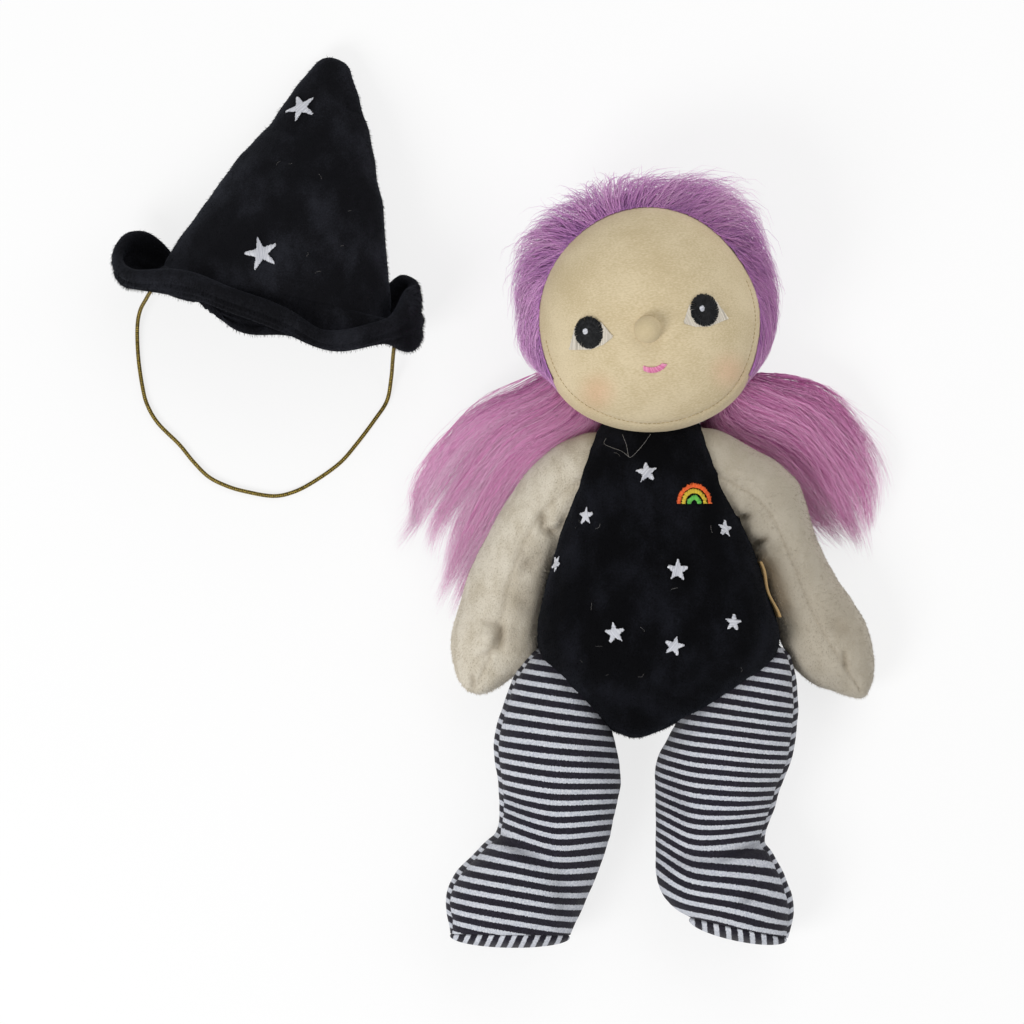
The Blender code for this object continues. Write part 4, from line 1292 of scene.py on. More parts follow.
@dataclass
class Head:
    """The doll's ball of a head, its nose and its embroidered features."""

    centre: tuple[float, float, float] = (-3.5, 84.5, 35.0)
    half_width: float = 36.6 * MM
    half_depth: float = 31.0 * MM
    tilt: float = math.radians(11)
    seam_angle: float = math.radians(69)
    around: int = 144
    rows: int = 110
    stitch_gap: float = math.radians(106)
    nose_radius: float = 4.4 * MM
    nose_place: Point2 = (-1.7, -3.8)
    eye_spacing: float = 37.2
    eye_middle: float = -1.5
    eye_height: float = -1.1
    mouth_place: Point2 = (-1.9, -16.8)
    cheeks: tuple = ((226.0, 24.0, 0.038), (315.0, 24.0, 0.04), (38.0, 30.0, -0.036), (140.0, 26.0, -0.015))

    def girth(self, turn: Array | float) -> Array:
        """How much wider than round the head is.

        Args:
            turn: angles round the face, in radians.

        Returns:
            The width at each angle, where 1 is round.
        """
        wide = np.ones(np.shape(turn))
        for angle, spread, much in self.cheeks:
            away = (np.degrees(turn) - angle + 180.0) % 360.0 - 180.0
            wide = wide + much * bell(away, spread)
        return wide

    def ball(self, extra: float, first: float, last: float, rows: int) -> Array:
        """Rings of the head grown by extra.

        Args:
            extra: how far outside the head, in metres.
            first: angle from the middle of the face of the first ring.
            last: angle of the last ring.
            rows: how many rings.

        Returns:
            Points as rows, places around and xyz.
        """
        polar = np.linspace(first, last, rows)[:, None]
        turn = circle(self.around)[None, :]
        across = (self.half_width * self.girth(turn) + extra) * np.sin(polar)
        up = (self.half_depth + extra) * np.cos(polar)
        return turned(np.array(self.centre) * MM, across, up, turn)

    def on_face(self, x: float, y: float) -> Point2:
        """A point of the level face, turned with the head.

        Args:
            x: its place across the face, in millimetres.
            y: its place up the face, in millimetres.

        Returns:
            Its place in plan, in metres.
        """
        cos = math.cos(self.tilt)
        sin = math.sin(self.tilt)
        return (self.centre[0] + x * cos - y * sin) * MM, (self.centre[1] + x * sin + y * cos) * MM

    def build(self, shop: Workshop) -> None:
        """Makes the ball, the nose, the eyes, the mouth and the topstitching.

        Args:
            shop: the trees for fibres and pile.
        """
        points = self.ball(0.0, 0.0, math.pi, self.rows)
        normals = grid_normals(points)
        polar = np.linspace(0.0, math.pi, self.rows)[:, None]
        turn = circle(self.around)[None, :]
        gap = np.abs(polar - self.seam_angle) * self.half_width
        pucker = 1.0 + 0.5 * np.sin(turn * 64)
        push = 0.22 * MM * lumps(points, 24 * MM, 5)
        sewn = held(0.35 - np.cos(turn - self.stitch_gap))
        push = push - sewn * 0.42 * MM * bell(gap, 0.8 * MM)
        push = push - sewn * 0.14 * MM * pucker * bell(gap, 2.2 * MM)
        points = points + normals * push[:, :, None]
        skin = make_object("head_cloth", points, ring_faces(self.rows, self.around), Finish.FACE)
        tidy_mesh(skin)
        dress(skin, Finish.FACE, ("face_panel", "head_back_panel", "head_stuffing"))
        ground = Ground(surface_tree(skin))
        self.make_nose(ground)
        self.make_eyes(shop.tubes, ground)
        self.make_mouth(shop.tubes, ground)
        self.make_topstitch(shop.tubes, ground.tree)

    def make_nose(self, ground: Ground) -> None:
        """Makes the nose: a small stuffed ball of the face's cloth, drawn in where it is sewn on.

        Args:
            ground: the cloth of the face.
        """
        x, y = self.on_face(*self.nose_place)
        base = ground.rise(np.array([(x, y)]), np.array((x, y)), np.zeros(1))[0]
        rows, around = 40, 48
        polar = np.linspace(0.0, math.pi * 0.86, rows)[:, None]
        turn = circle(around)[None, :]
        across = self.nose_radius * np.sin(polar) * (1.0 + 0.02 * np.sin(turn * 9) * (polar / math.pi) ** 4)
        up = self.nose_radius * np.cos(polar) + 1.4 * MM
        faces = ring_faces(rows, around, (rows - 1,))
        nose = make_object("nose_ball", turned(base, across, up, turn), faces, Finish.FACE)
        tidy_mesh(nose)
        dress(nose, Finish.FACE, ("nose",))

    def make_eyes(self, tubes: TubeTree, ground: Ground) -> None:
        """Makes each eye's white, its black pupil in rings of stitches, and its glint.

        Args:
            tubes: the tree for stitches.
            ground: the cloth of the face.
        """
        for side, sign in (("right", -1), ("left", 1)):
            middle = self.eye_middle + sign * self.eye_spacing / 2
            corners = (
                (sign * 7.2, -4.1),
                (sign * 4.3, 2.4),
                (0, 3.4),
                (-sign * 4.3, 2.4),
                (-sign * 7.2, -2.9),
                (-sign * 3.6, -4.7),
                (sign * 0.7, -5.4),
            )
            outline = np.array([self.on_face(middle + x, self.eye_height + y) for x, y in corners])
            white = SatinPatch(outline, self.tilt + math.pi / 2 + sign * 0.25, 0.24 * MM).lines(
                ground, 20 + sign
            )
            tubes.sew(f"eye_white_{side}", white, EYE_THREAD, Finish.EYE_WHITE)
            tubes.sew(
                f"pupil_{side}", self.pupil_lines(ground, middle, 30 + sign), EYE_THREAD, Finish.BLACK_THREAD
            )
            x, y = self.on_face(middle - 0.8, self.eye_height + 0.6)
            angle = circle(12)
            spot = np.column_stack((x + 0.7 * MM * np.cos(angle), y + 0.85 * MM * np.sin(angle)))
            glint = SatinPatch(spot, 0.5, 0.22 * MM, 0.95 * MM, 0.25 * MM).lines(ground, 40 + sign)
            tubes.sew(f"eye_glint_{side}", glint, EYE_THREAD, Finish.WHITE_THREAD)

    def pupil_lines(self, ground: Ground, middle: float, seed: int) -> Lines:
        """Stitches of a pupil: an uneven outer ring, an inner ring and a centre.

        Args:
            ground: the cloth of the face.
            middle: where the eye is across the face, in millimetres.
            seed: what makes the stitches uneven.

        Returns:
            The stitches as lines.
        """
        random = np.random.default_rng(seed)
        made = Lines()
        centre = np.array(self.on_face(middle, self.eye_height))
        for inner, outer, count, lift in (
            (0.60, 1.0, 84, 0.55), (0.26, 0.66, 60, 0.62), (0.0, 0.30, 34, 0.66)
        ):
            for k in range(count):
                turn = 2 * math.pi * (k + random.uniform(-0.2, 0.2)) / count
                far = outer * (1 + random.uniform(-0.02, 0.06)) if outer == 1.0 else outer
                lean = 0.12 if outer == 1.0 else -0.16
                share = shares(4)
                reach = inner + (far - inner) * share
                angle = turn + lean * share
                x = middle + 4.35 * reach * np.cos(angle)
                y = self.eye_height + 5.05 * reach * np.sin(angle)
                flat = np.array([self.on_face(a, b) for a, b in zip(x, y)])
                rise = lift * MM + 0.22 * MM * np.sin(math.pi * share)
                made.add(ground.rise(flat, centre, rise), shade=random.uniform(0.0, 0.9))
        return made

    def make_mouth(self, tubes: TubeTree, ground: Ground) -> None:
        """Makes a short smile of slanted pink stitches.

        Args:
            tubes: the tree for stitches.
            ground: the cloth of the face.
        """
        random = np.random.default_rng(3)
        made = Lines()
        count = 26
        for k in range(count):
            share = (k + 0.5) / count
            turn = -math.pi / 2 + math.radians(80) * (share - 0.5)
            half = 0.8 * (0.7 + 0.3 * math.sin(math.pi * share)) + random.uniform(0.0, 0.15)
            ends = []
            for sign in np.linspace(-1.0, 1.0, 4):
                radius = 5.4 + sign * half
                lean = 0.07 * sign
                x = self.mouth_place[0] + radius * math.cos(turn + lean)
                y = self.mouth_place[1] + 5.4 + radius * math.sin(turn + lean)
                ends.append(self.on_face(x, y))
            flat = np.array(ends)
            rise = 0.22 * MM + 0.22 * MM * np.sin(math.pi * np.linspace(0, 1, 4))
            made.add(ground.rise(flat, flat.mean(axis=0), rise), shade=random.uniform(0.0, 1.0))
        tubes.sew("mouth", made, 0.19 * MM, Finish.PINK_THREAD)

    def make_topstitch(self, tubes: TubeTree, tree: BVHTree) -> None:
        """Makes the line of small stitches that holds the face's edge down.

        Args:
            tubes: the tree for stitches.
            tree: the surface of the head.
        """
        random = np.random.default_rng(8)
        made = Lines()
        ring = self.ball(0.0, self.seam_angle, self.seam_angle, 1)[0]
        count = 150
        for k in range(count):
            if math.cos(2 * math.pi * k / count - self.stitch_gap) > 0.09:
                continue
            share = (k + np.linspace(0.12, 0.78, 4) + random.uniform(-0.05, 0.05)) / count * self.around
            low = share.astype(int)
            here, there = ring[low % self.around], ring[(low + 1) % self.around]
            line = here + (there - here) * (share - low)[:, None]
            laid = []
            for number, spot in enumerate(line):
                place, normal = tree.find_nearest(Vector(spot))[:2]
                laid.append(place + normal * (0.02 + 0.1 * math.sin(math.pi * number / 3)) * MM)
            made.add(np.array(laid), shade=random.uniform(0.0, 1.0))
        tubes.make("face_topstitch", made, 0.11 * MM, Finish.SEWING_THREAD, sides=STITCH_SIDES)


@dataclass
class Wig:
    """Fur sewn to the edge of the face and combed away from a parting, outwards and down to the bunches.

    The depths are pairs of an angle round the face, in degrees from the doll's left, and the fur's depth.
    """

    head: Head
    strands: int = 7500
    fibre: float = 0.12 * MM
    depths: tuple = (
        (-180, 6.8), (-168, 6.8), (-90, 4), (-30, 3.2), (-12, 3.8), (4, 5.6), (20, 7.6),
        (33, 10.2), (45, 14.2), (57, 15), (69, 13.8), (81, 10.9), (93, 10.7), (105, 12.2),
        (129, 12.9), (141, 14), (153, 12.9), (165, 9.8), (176, 7), (180, 6.8),
    )
    back_angles: tuple = (1.75, 2.35)
    back_share: float = 0.45
    core: float = 0.42
    core_rise: float = math.radians(26)
    hairline: float = math.radians(76.5)
    rim: float = math.radians(12)
    rim_strands: float = 0.44
    front_strands: float = 0.42
    front_end: float = math.radians(122)
    parting: float = math.radians(112)
    tuft: float = -0.7
    nape: float = -20.0 * MM
    taper_height: float = 15.0 * MM

    def build(self, shop: Workshop) -> None:
        """Makes the backing and the fibres.

        Args:
            shop: the trees for fibres and pile.
        """
        head = self.head
        rows = 48
        polar = np.linspace(self.hairline, math.pi, rows)[:, None]
        turn = circle(head.around)[None, :]
        base = head.ball(0.3 * MM, self.hairline, math.pi, rows)
        depth = self.core * self.depth(polar, turn, base[:, :, 1]) * (1.0 + 0.15 * lumps(base, 7 * MM, 12))
        depth = depth * held((polar - self.hairline) / self.core_rise)
        outer = base + grid_normals(base) * depth[:, :, None]
        points = np.concatenate([outer, base[::-1]])
        raise_to(points)
        faces = ring_faces(2 * rows, head.around) + ring_joint((2 * rows - 1) * head.around, 0, head.around)
        level = points[:, :, 1].reshape(-1) - head.centre[1] * MM
        faces = [face for face in faces if level[list(face)].min() > self.nape]
        backing = make_object("wig_backing", points, faces, Finish.WIG)
        set_attribute(backing.data, "tint", 0.14 + 0.10 * lumps(points, 4 * MM, 2))
        tidy_mesh(backing, cut=True)
        dress(backing, Finish.WIG, ("wig_cap",))
        shop.tubes.make("wig_fibres", self.fibres(), self.fibre, Finish.WIG)

    def depth(self, polar: Array, turn: Array, y: Array) -> Array:
        """How deep the fur is at places on the head.

        Args:
            polar: angle from the middle of the face, in radians.
            turn: angle round the face, in radians.
            y: the places' Y, in metres.

        Returns:
            The depths, in metres.
        """
        angles, depths = np.array(self.depths).T
        full = np.interp((np.degrees(turn) + 180.0) % 360.0 - 180.0, angles, depths) * MM
        swell = np.sin(held((polar - self.hairline) / self.rim) * math.pi / 2)
        above = held((y - self.head.centre[1] * MM - self.nape) / self.taper_height)
        return full * swell * above * (2.0 - above) * np.interp(
            polar, self.back_angles, (1.0, self.back_share)
        )

    def fibres(self) -> Lines:
        """Fibres at every level of the fur: nearly half start at the hairline, and the rest behind it.

        Returns:
            The fibres as lines.
        """
        head = self.head
        random = np.random.default_rng(6)
        middle = np.array(head.centre) * MM
        made = Lines()
        share = shares(5)
        while len(made.points) < self.strands:
            kind = random.random()
            if kind < self.rim_strands:
                root = self.hairline + math.radians(random.uniform(-0.8, 9.0))
                back = random.uniform(0.06, 0.34)
                low = random.uniform(0.1, 0.3)
                high = low + random.uniform(0.3, 0.75)
            else:
                front = kind < self.rim_strands + self.front_strands
                ends = (self.front_end, math.pi * 0.96)
                if front:
                    ends = (self.hairline + math.radians(4.0), self.front_end)
                root = ends[0] + (ends[1] - ends[0]) * random.random() ** 1.2
                back = random.uniform(0.0, 0.24)
                low = random.uniform(0.3, 0.75)
                high = low + random.uniform(0.05, 0.4)
            start = random.uniform(0, 2 * math.pi)
            away = (start - self.parting + math.pi) % (2 * math.pi) - math.pi
            spot = np.array((math.cos(start), math.sin(start), math.cos(root))) * head.half_width
            clump = lumps(spot, 5 * MM, 31)
            swirl = lumps(spot, 13 * MM, 33)
            comb = math.tanh(away * 2.5) * random.uniform(0.12, 0.46)
            comb = comb + 0.05 * swirl + random.normal(scale=0.07)
            stray = random.random() < (0.30 if abs(away - self.tuft) < 0.16 else 0.07)
            high += random.uniform(0.1, 0.45) if stray else 0.05 * clump
            polar = root + back * share
            turn = start + comb * share**1.2
            ground = middle[1] + head.half_width * np.sin(polar) * np.sin(turn)
            if ground[0] < middle[1] + self.nape or ground[-1] < middle[1] + self.nape - 3 * MM:
                continue
            level = low + (high - low) * np.sin(share * math.pi / 2)
            height = self.depth(polar, turn, ground) * level + 0.1 * MM
            across = (head.half_width * head.girth(turn) + height) * np.sin(polar)
            line = np.column_stack(
                (
                    middle[0] + across * np.cos(turn),
                    middle[1] + across * np.sin(turn),
                    np.maximum(middle[2] + (head.half_depth + height) * np.cos(polar), 0.2 * MM),
                )
            )
            girth = np.interp(share, (0.0, 0.5, 1.0), (0.9, 0.8, 0.1)) * random.uniform(0.65, 1.1)
            # Painted light: the cosine term paints the fur paler towards the upper right of the head, the side
            # away from the key lamp.
            tint = 0.12 + 0.07 * math.cos(start - 0.7) + 0.34 * share + 0.26 * level
            tint = tint + 0.17 * clump + 0.08 * swirl
            tint = held(tint + random.normal(scale=0.12))
            made.add(
                line, girth * (0.7 if stray else 1.0), tint, np.clip(random.normal(0.02, 0.16), 0.0, 0.6)
            )
        return made


@dataclass(frozen=True)
class Lock:
    """A tuft of a bunch, across it from -1 to 1: its middle, half width and tip, its ribs and density."""

    middle: float
    spread: float
    tip: float
    reach: float
    amount: float = 1.0


@dataclass
class HairBunch:
    """One long bunch of fur that fans out from its root beside the head."""

    name: str
    ribs: Ribs
    node: str
    locks: tuple[Lock, ...]
    seed: int
    pale: float = 0.0
    strays: float = 0.09
    strands: int = 4000
    fibre: float = 0.115 * MM
    points: int = 7
    rows: int = 76
    core_rows: int = 42
    around: int = 60

    def build(self, shop: Workshop) -> None:
        """Makes the core and the fibres.

        Args:
            shop: the trees for fibres and pile.
        """
        core = loft(self.ribs, self.rows, self.around, 2.0)[: self.core_rows]
        middle = core.mean(axis=1, keepdims=True)
        along = shares(self.core_rows)[:, None]
        core = middle + (core - middle) * (0.74 * np.sqrt(1.0 - along**3))[:, :, None]
        streak = lumps(core * np.array((1.0, 1.0, 2.5)), 4 * MM, self.seed)
        core = core + grid_normals(core) * (0.4 * MM * streak)[:, :, None]
        raise_to(core, 0.1 * MM)
        body = make_object(f"{self.name}_core", core, ring_faces(self.core_rows, self.around), Finish.BUNCH)
        set_attribute(body.data, "tint", held(0.10 + 0.22 * along + 0.10 * streak))
        tidy_mesh(body)
        dress(body, Finish.BUNCH, (self.node,))
        shop.tubes.make(f"{self.name}_fibres", self.fibres(), self.fibre, Finish.BUNCH)

    def fibres(self) -> Lines:
        """Fibres that run from the root to the tips of their locks, longest in the middle of each lock.

        Returns:
            The fibres as lines.
        """
        random = np.random.default_rng(self.seed)
        table = np.array(self.ribs[:-1], float) * MM
        middle = (table[:, 0:2] + table[:, 2:4]) / 2
        half = (table[:, 2:4] - table[:, 0:2]) / 2
        shape = np.column_stack((middle, half, table[:, 4:6]))
        last = len(shape) - 1
        weights = np.array([lock.spread * lock.amount for lock in self.locks])
        weights = weights / weights.sum()
        made = Lines()
        share = shares(self.points)
        for _ in range(self.strands):
            number = random.choice(len(self.locks), p=weights)
            lock = self.locks[number]
            offset = float(np.clip(random.normal(scale=0.6), -1.5, 1.5))
            across = lock.middle + 1.4 * lock.spread * offset
            side = 1.0 if random.random() < 0.74 else -1.0
            depth = 1.0 - 0.55 * random.random() ** 1.8
            stray = random.random() < self.strays
            reach = lock.reach * (1.0 - 0.07 * offset**2)
            start = random.random() ** 1.3 * 0.6 * reach
            end = min(start + random.uniform(0.4, 0.8) * reach, reach * (1.0 - 0.24 * random.random() ** 1.4))
            places = start + (end - start) * share
            rows = spline(shape, np.minimum(places, last))
            beyond = np.maximum(places - last, 0.0)[:, None]
            rows[:, 0:2] += beyond * (shape[last, 0:2] - shape[last - 1, 0:2])
            ratio = held(places / lock.reach)
            gather = held((ratio - 0.4) / 0.6) ** 1.3 * 0.7
            track = across + (lock.tip + 0.25 * lock.spread * offset - across) * gather
            track = track + 0.04 * np.sin(places * 1.7 + number * 2.0 + across * 3.0)
            track = track + share**1.4 * random.normal(scale=0.30 if stray else 0.09)
            if stray:
                depth += 0.5 * random.random()
            edge = 1.06 + 0.5 * held((ratio - 0.55) / 0.35) + (0.12 if stray else 0.0)
            track = np.clip(track, -edge, edge)
            bulge = np.sqrt(np.clip(1.0 - track**2, 0.02, 1.0))
            thick = np.maximum(rows[:, 5], 1.5 * MM) * (1.0 - 0.4 * gather)
            x = rows[:, 0] + rows[:, 2] * track
            y = rows[:, 1] + rows[:, 3] * track
            z = rows[:, 4] + thick * bulge * side * depth
            line = np.column_stack((x, y, np.maximum(z, 0.25 * MM)))
            wave = np.sin(share * random.uniform(3.0, 7.0) + random.uniform(0, 2 * math.pi))
            wave = wave * random.uniform(0.1, 0.5) * MM
            line[:, 0:2] += (wave + 0.6 * MM * lumps(line, 12 * MM, self.seed + 5) * share)[:, None]
            girth = np.interp(share, (0.0, 0.5, 1.0), (1.0, 0.8, 0.07)) * (1.0 - 0.3 * ratio)
            girth = girth * random.uniform(0.65, 1.15)
            streak = 0.10 * math.sin(across * 9 + number) + 0.09 * math.sin(across * 23)
            tint = 0.02 + 0.50 * ratio + 0.26 * share + 0.16 * depth
            tint = tint + streak + self.pale + random.normal(scale=0.09)
            shade = float(np.clip(random.normal(0.04, 0.16), 0.0, 0.6)) + (0.25 if stray else 0.0)
            made.add(line, girth * (0.7 if stray else 1.0), held(tint), shade)
        return made


@dataclass
class Lint:
    """Pale fluff and stray thread ends caught on dark velour."""

    name: str
    count: int
    box: tuple[float, float, float, float]
    seed: int
    loops: tuple = ()

    def build(self, shop: Workshop, ground: Ground) -> None:
        """Scatters short curls over a box in plan, and lays the given loops.

        Args:
            shop: the trees for fibres and pile.
            ground: the cloth under them.
        """
        random = np.random.default_rng(self.seed)
        made = Lines()
        share = shares(7)
        for _ in range(self.count):
            start = np.array((random.uniform(*self.box[0::2]), random.uniform(*self.box[1::2]))) * MM
            heading = random.uniform(0, 2 * math.pi) + share * random.uniform(-2.0, 2.0)
            step = random.uniform(0.5, 3.5) * MM / 6
            flat = start + np.cumsum(np.column_stack((np.cos(heading), np.sin(heading))), axis=0) * step
            if any(ground.tree.ray_cast(Vector((x, y, 1.0)), DOWN)[0] is None for x, y in flat):
                continue
            lift = 0.75 * MM + 0.3 * MM * np.sin(math.pi * share)
            made.add(ground.rise(flat, start, lift), 0.7, 0.0, random.uniform(0.0, 1.0))
        for loop in self.loops:
            path = spline(np.array(loop, float) * MM, np.linspace(0, len(loop) - 1, 24))
            made.add(ground.rise(path, path[0], np.full(len(path), 0.9 * MM)), 1.2, 0.0, 0.2)
        shop.tubes.make(self.name, made, 0.04 * MM, Finish.LINT)


@dataclass
class Chest:
    """The embroidery of the front: eight stars and a rainbow, with fluff. The tape in the side seam is a piece
    of its own.
    """

    stars: tuple = (
        (-4.5, 34.7, 3.4, 6), (-23.8, 20.7, 2.8, -4), (20.4, 16.5, 2.8, 2), (-33.2, 5.2, 2.7, 20),
        (5.3, 3.2, 3.6, -2), (-14.8, -16.9, 3.4, 8), (23.2, -13.5, 2.9, -8), (4.2, -21, 3.4, -14),
    )
    rainbow: Point2 = (10.7, 24.7)
    rainbow_stretch: float = 1.16
    bands: tuple = (
        (Finish.ORANGE_THREAD, "rainbow_orange", 5.35, 4.5),
        (Finish.YELLOW_THREAD, "rainbow_yellow", 3.85, 3.0),
        (Finish.GREEN_THREAD, "rainbow_green", 2.1, 1.15),
    )
    loops: tuple = (
        ((-17.1, 45.3), (-17.8, 43.6), (-15.5, 42.4), (-12.3, 41.2), (-9.9, 39.3)),
        ((-12.0, 46.5), (-10.8, 43.4), (-9.9, 39.3), (-6.5, 42.4), (-3.2, 46.6)),
    )

    def build(self, shop: Workshop, torso: bpy.types.Object) -> None:
        """Sews the stars and the rainbow on the torso, and leaves fluff on it.

        Args:
            shop: the trees for fibres and pile.
            torso: the cloth under them.
        """
        tree = surface_tree(torso)
        for number, star in enumerate(self.stars, 1):
            patch = SatinPatch(star_outline(*star), 0.9 * number, 0.22 * MM, 0.45 * MM, 0.3 * MM, 0.35 * MM)
            lines = patch.lines(Ground(tree, Lay.WRAPPED), 60 + number)
            shop.tubes.sew(f"star_{number}", lines, 0.16 * MM, Finish.WHITE_THREAD)
        ground = Ground(tree)
        random = np.random.default_rng(12)
        for finish, node, outer, inner in self.bands:
            made = Lines()
            count = int(math.pi * (outer + inner) / 2 / 0.2)
            for k in range(count + 1):
                angle = math.pi * k / count
                share = shares(4)
                reach = (
                    inner - random.uniform(0, 0.2) + (outer - inner + random.uniform(0.0, 0.4)) * share
                ) * MM
                up = reach * np.sin(angle) * self.rainbow_stretch
                flat = np.column_stack(
                    (self.rainbow[0] * MM + reach * np.cos(angle), self.rainbow[1] * MM + up)
                )
                rise = 0.3 * MM + 0.3 * MM * np.sin(math.pi * share)
                made.add(ground.rise(flat, flat[0], rise), shade=random.uniform(0.0, 0.8))
            shop.tubes.sew(node, made, 0.15 * MM, finish)
        Lint("torso_lint", 16, (-30.0, -36.0, 28.0, 40.0), 16, self.loops).build(shop, ground)


@dataclass
class Hat:
    """The pointed hat: a double velour cone, a thick wavy brim and stars. Its thin elastic is a piece of its
    own.
    """

    ribs: Ribs = (
        (-107.9, 169.8, -107.9, 169.8, 5, 0), (-113.6, 165, -99.9, 165.8, 5.5, 5),
        (-121.3, 155.2, -96.4, 154.3, 8, 7.8), (-128.7, 145.2, -93.1, 142.9, 11, 10.8),
        (-137.1, 136.5, -90.9, 130, 14, 13.8), (-144.9, 125.5, -89.3, 118, 17, 16.8),
        (-152, 114.5, -88, 105.1, 20, 19.8), (-158.5, 104.5, -87.3, 92.2, 22, 21.8),
        (-160.7, 100.9, -87, 83.4, 22.7, 22.7),
    )
    fold: Ribs = (
        (-78.8, 77.5, 19), (-81, 75.5, 28), (-89.5, 77.8, 37), (-105, 75.6, 42), (-120.5, 80.8, 44),
        (-138.5, 87.8, 42), (-152, 92.4, 36.5), (-166, 95, 29), (-172.5, 96.5, 18), (-169, 98.5, 10.5),
        (-157, 93.5, 5), (-141, 89, 3), (-122, 86, 3), (-103, 83, 3.2), (-88, 80.5, 5), (-81, 78, 11),
    )
    edge: Ribs = (
        (-79.4, 94, 18), (-81.5, 92, 27), (-88, 82.8, 40), (-106.5, 78.6, 46), (-120.5, 85.2, 48),
        (-139.5, 93.2, 46), (-155, 98.6, 40), (-170, 98.5, 32), (-175.6, 104.5, 20), (-171.5, 110.6, 12),
        (-161, 107.5, 7), (-141, 84.6, 3), (-122, 81, 3),
        (-101, 80, 3.5), (-86.5, 95.5, 7.5), (-81, 96.5, 11),
    )
    stars: tuple = (
        ("hat_star_upper", (-116.3, 152.8, 5.5, 18, 0.33)),
        ("hat_star_lower", (-128.7, 105.2, 6, 14, 0.33)),
    )
    creases: tuple[Crease, ...] = creases(
        (-127.5, 148.5, -112, 143, 2.6, 1.3),
        (-123, 110.5, -99, 99, 2.2, 1.1), (-113, 129, -100.5, 131.5, 3, 0.9),
        (-152, 108, -134, 104, 3, 0.8), (-109, 152, -101, 141, 3, 0.7),
    )
    felt: float = 1.6 * MM
    brim_half: float = 1.75 * MM
    fold_share: float = 0.52
    grooves: Point2 = (0.70, 0.86)
    groove_width: float = 0.035
    rows: int = 92
    around: int = 116
    brim_steps: int = 200
    pile: int = 10500
    cone_pile_length: float = 1.0 * MM
    brim_pile_length: float = 1.15 * MM

    def build(self, shop: Workshop) -> None:
        """Makes the cone, the brim, the stars and the fluff.

        Args:
            shop: the trees for fibres and pile.
        """
        cone, mouth, axis = self.make_cone()
        brim = self.make_brim(mouth, axis)
        shop.pile.plant(cone, self.pile, self.cone_pile_length, Finish.HAT_VELOUR, 21)
        shop.pile.plant(brim, self.pile, self.brim_pile_length, Finish.HAT_VELOUR, 22)
        ground = Ground(surface_tree(cone), Lay.WRAPPED)
        for number, (node, star) in enumerate(self.stars):
            patch = SatinPatch(star_outline(*star), 0.7 + number, 0.24 * MM, 0.45 * MM, 0.3 * MM, 0.4 * MM)
            shop.tubes.sew(node, patch.lines(ground, 90 + number), 0.17 * MM, Finish.WHITE_THREAD)
        Lint("hat_lint", 9, (-136.0, 98.0, -96.0, 158.0), 17).build(shop, Ground(surface_tree(cone)))

    def make_cone(self) -> tuple[bpy.types.Object, Array, Array]:
        """The cone with its inside.

        Returns:
            The object, the points round its mouth and the direction out of the mouth.
        """
        outer = loft(self.ribs, self.rows, self.around, 2.0)
        normals = grid_normals(outer)
        push = 0.7 * MM * lumps(outer, 26 * MM, 14) + 0.3 * MM * lumps(outer, 9 * MM, 15)
        for crease in self.creases:
            push -= crease.depth * MM * crease.weight(outer) * np.clip(normals[:, :, 2] + 0.3, 0, 1)
        fade = held((self.rows - 1 - np.arange(self.rows)) / 8)[:, None]
        outer = outer + normals * (push * fade)[:, :, None]
        raise_to(outer)
        inner = outer - normals * self.felt
        raise_to(inner, self.felt)
        points = np.concatenate([outer, inner[::-1]])
        cone = make_object(
            "hat_cone_velour", points, ring_faces(2 * self.rows, self.around), Finish.HAT_VELOUR
        )
        tidy_mesh(cone)
        dress(cone, Finish.HAT_VELOUR, ("hat_cone",))
        axis = outer[-1].mean(axis=0) - outer[-10].mean(axis=0)
        axis[2] = 0.0
        return cone, (outer[-1] + inner[-1]) / 2, axis / np.linalg.norm(axis)

    def make_brim(self, mouth: Array, axis: Array) -> bpy.types.Object:
        """The brim: a thick soft band that runs out from the mouth and rolls back over itself.

        Args:
            mouth: the points round the cone's mouth.
            axis: the direction out of the mouth.

        Returns:
            The brim.
        """
        share = np.arange(self.brim_steps) / self.brim_steps
        lines = []
        for table in (self.fold, self.edge):
            rows = np.array(table) * MM
            lines.append(spline(np.concatenate([rows[-1:], rows, rows[:2]]), 1 + share * len(rows)))
        fold, edge = lines
        at = share * len(mouth)
        low = at.astype(int)
        near = mouth[low] + (mouth[(low + 1) % len(mouth)] - mouth[low]) * (at - low)[:, None]
        near = near - axis * 0.5 * MM
        turn = self.fold_share
        control = (fold - (1 - turn) ** 2 * near - turn**2 * edge) / (2 * turn * (1 - turn))
        reach = shares(22)[:, None, None]
        band = (1 - reach) ** 2 * near + 2 * reach * (1 - reach) * control + reach**2 * edge
        band += 0.5 * MM * lumps(band, 18 * MM, 17)[:, :, None] * reach * np.array((0.3, 1.0, 0.6))
        out = unit(np.gradient(band, axis=0))
        normal = unit(np.cross(np.roll(band, -2, axis=1) - np.roll(band, 2, axis=1), out))
        half = self.brim_half * (0.55 + 0.5 * reach)
        groove = 0.7 * MM * sum(bell(reach - place, self.groove_width) for place in self.grooves)
        under = band - normal * (half - groove)
        over = band + normal * (half - groove)
        rim = []
        for angle in np.linspace(-math.pi / 2, math.pi / 2, 9)[1:-1]:
            rim.append(band[-1] + half[-1] * (normal[-1] * math.sin(angle) + out[-1] * math.cos(angle)))
        points = np.concatenate([under, np.array(rim), over[::-1]])
        raise_to(points)
        root = ring_joint(0, (len(points) - 1) * self.brim_steps, self.brim_steps)
        faces = ring_faces(len(points), self.brim_steps) + root
        brim = make_object("hat_brim_velour", points, faces, Finish.HAT_VELOUR)
        tidy_mesh(brim)
        dress(brim, Finish.HAT_VELOUR, ("hat_brim",))
        return brim


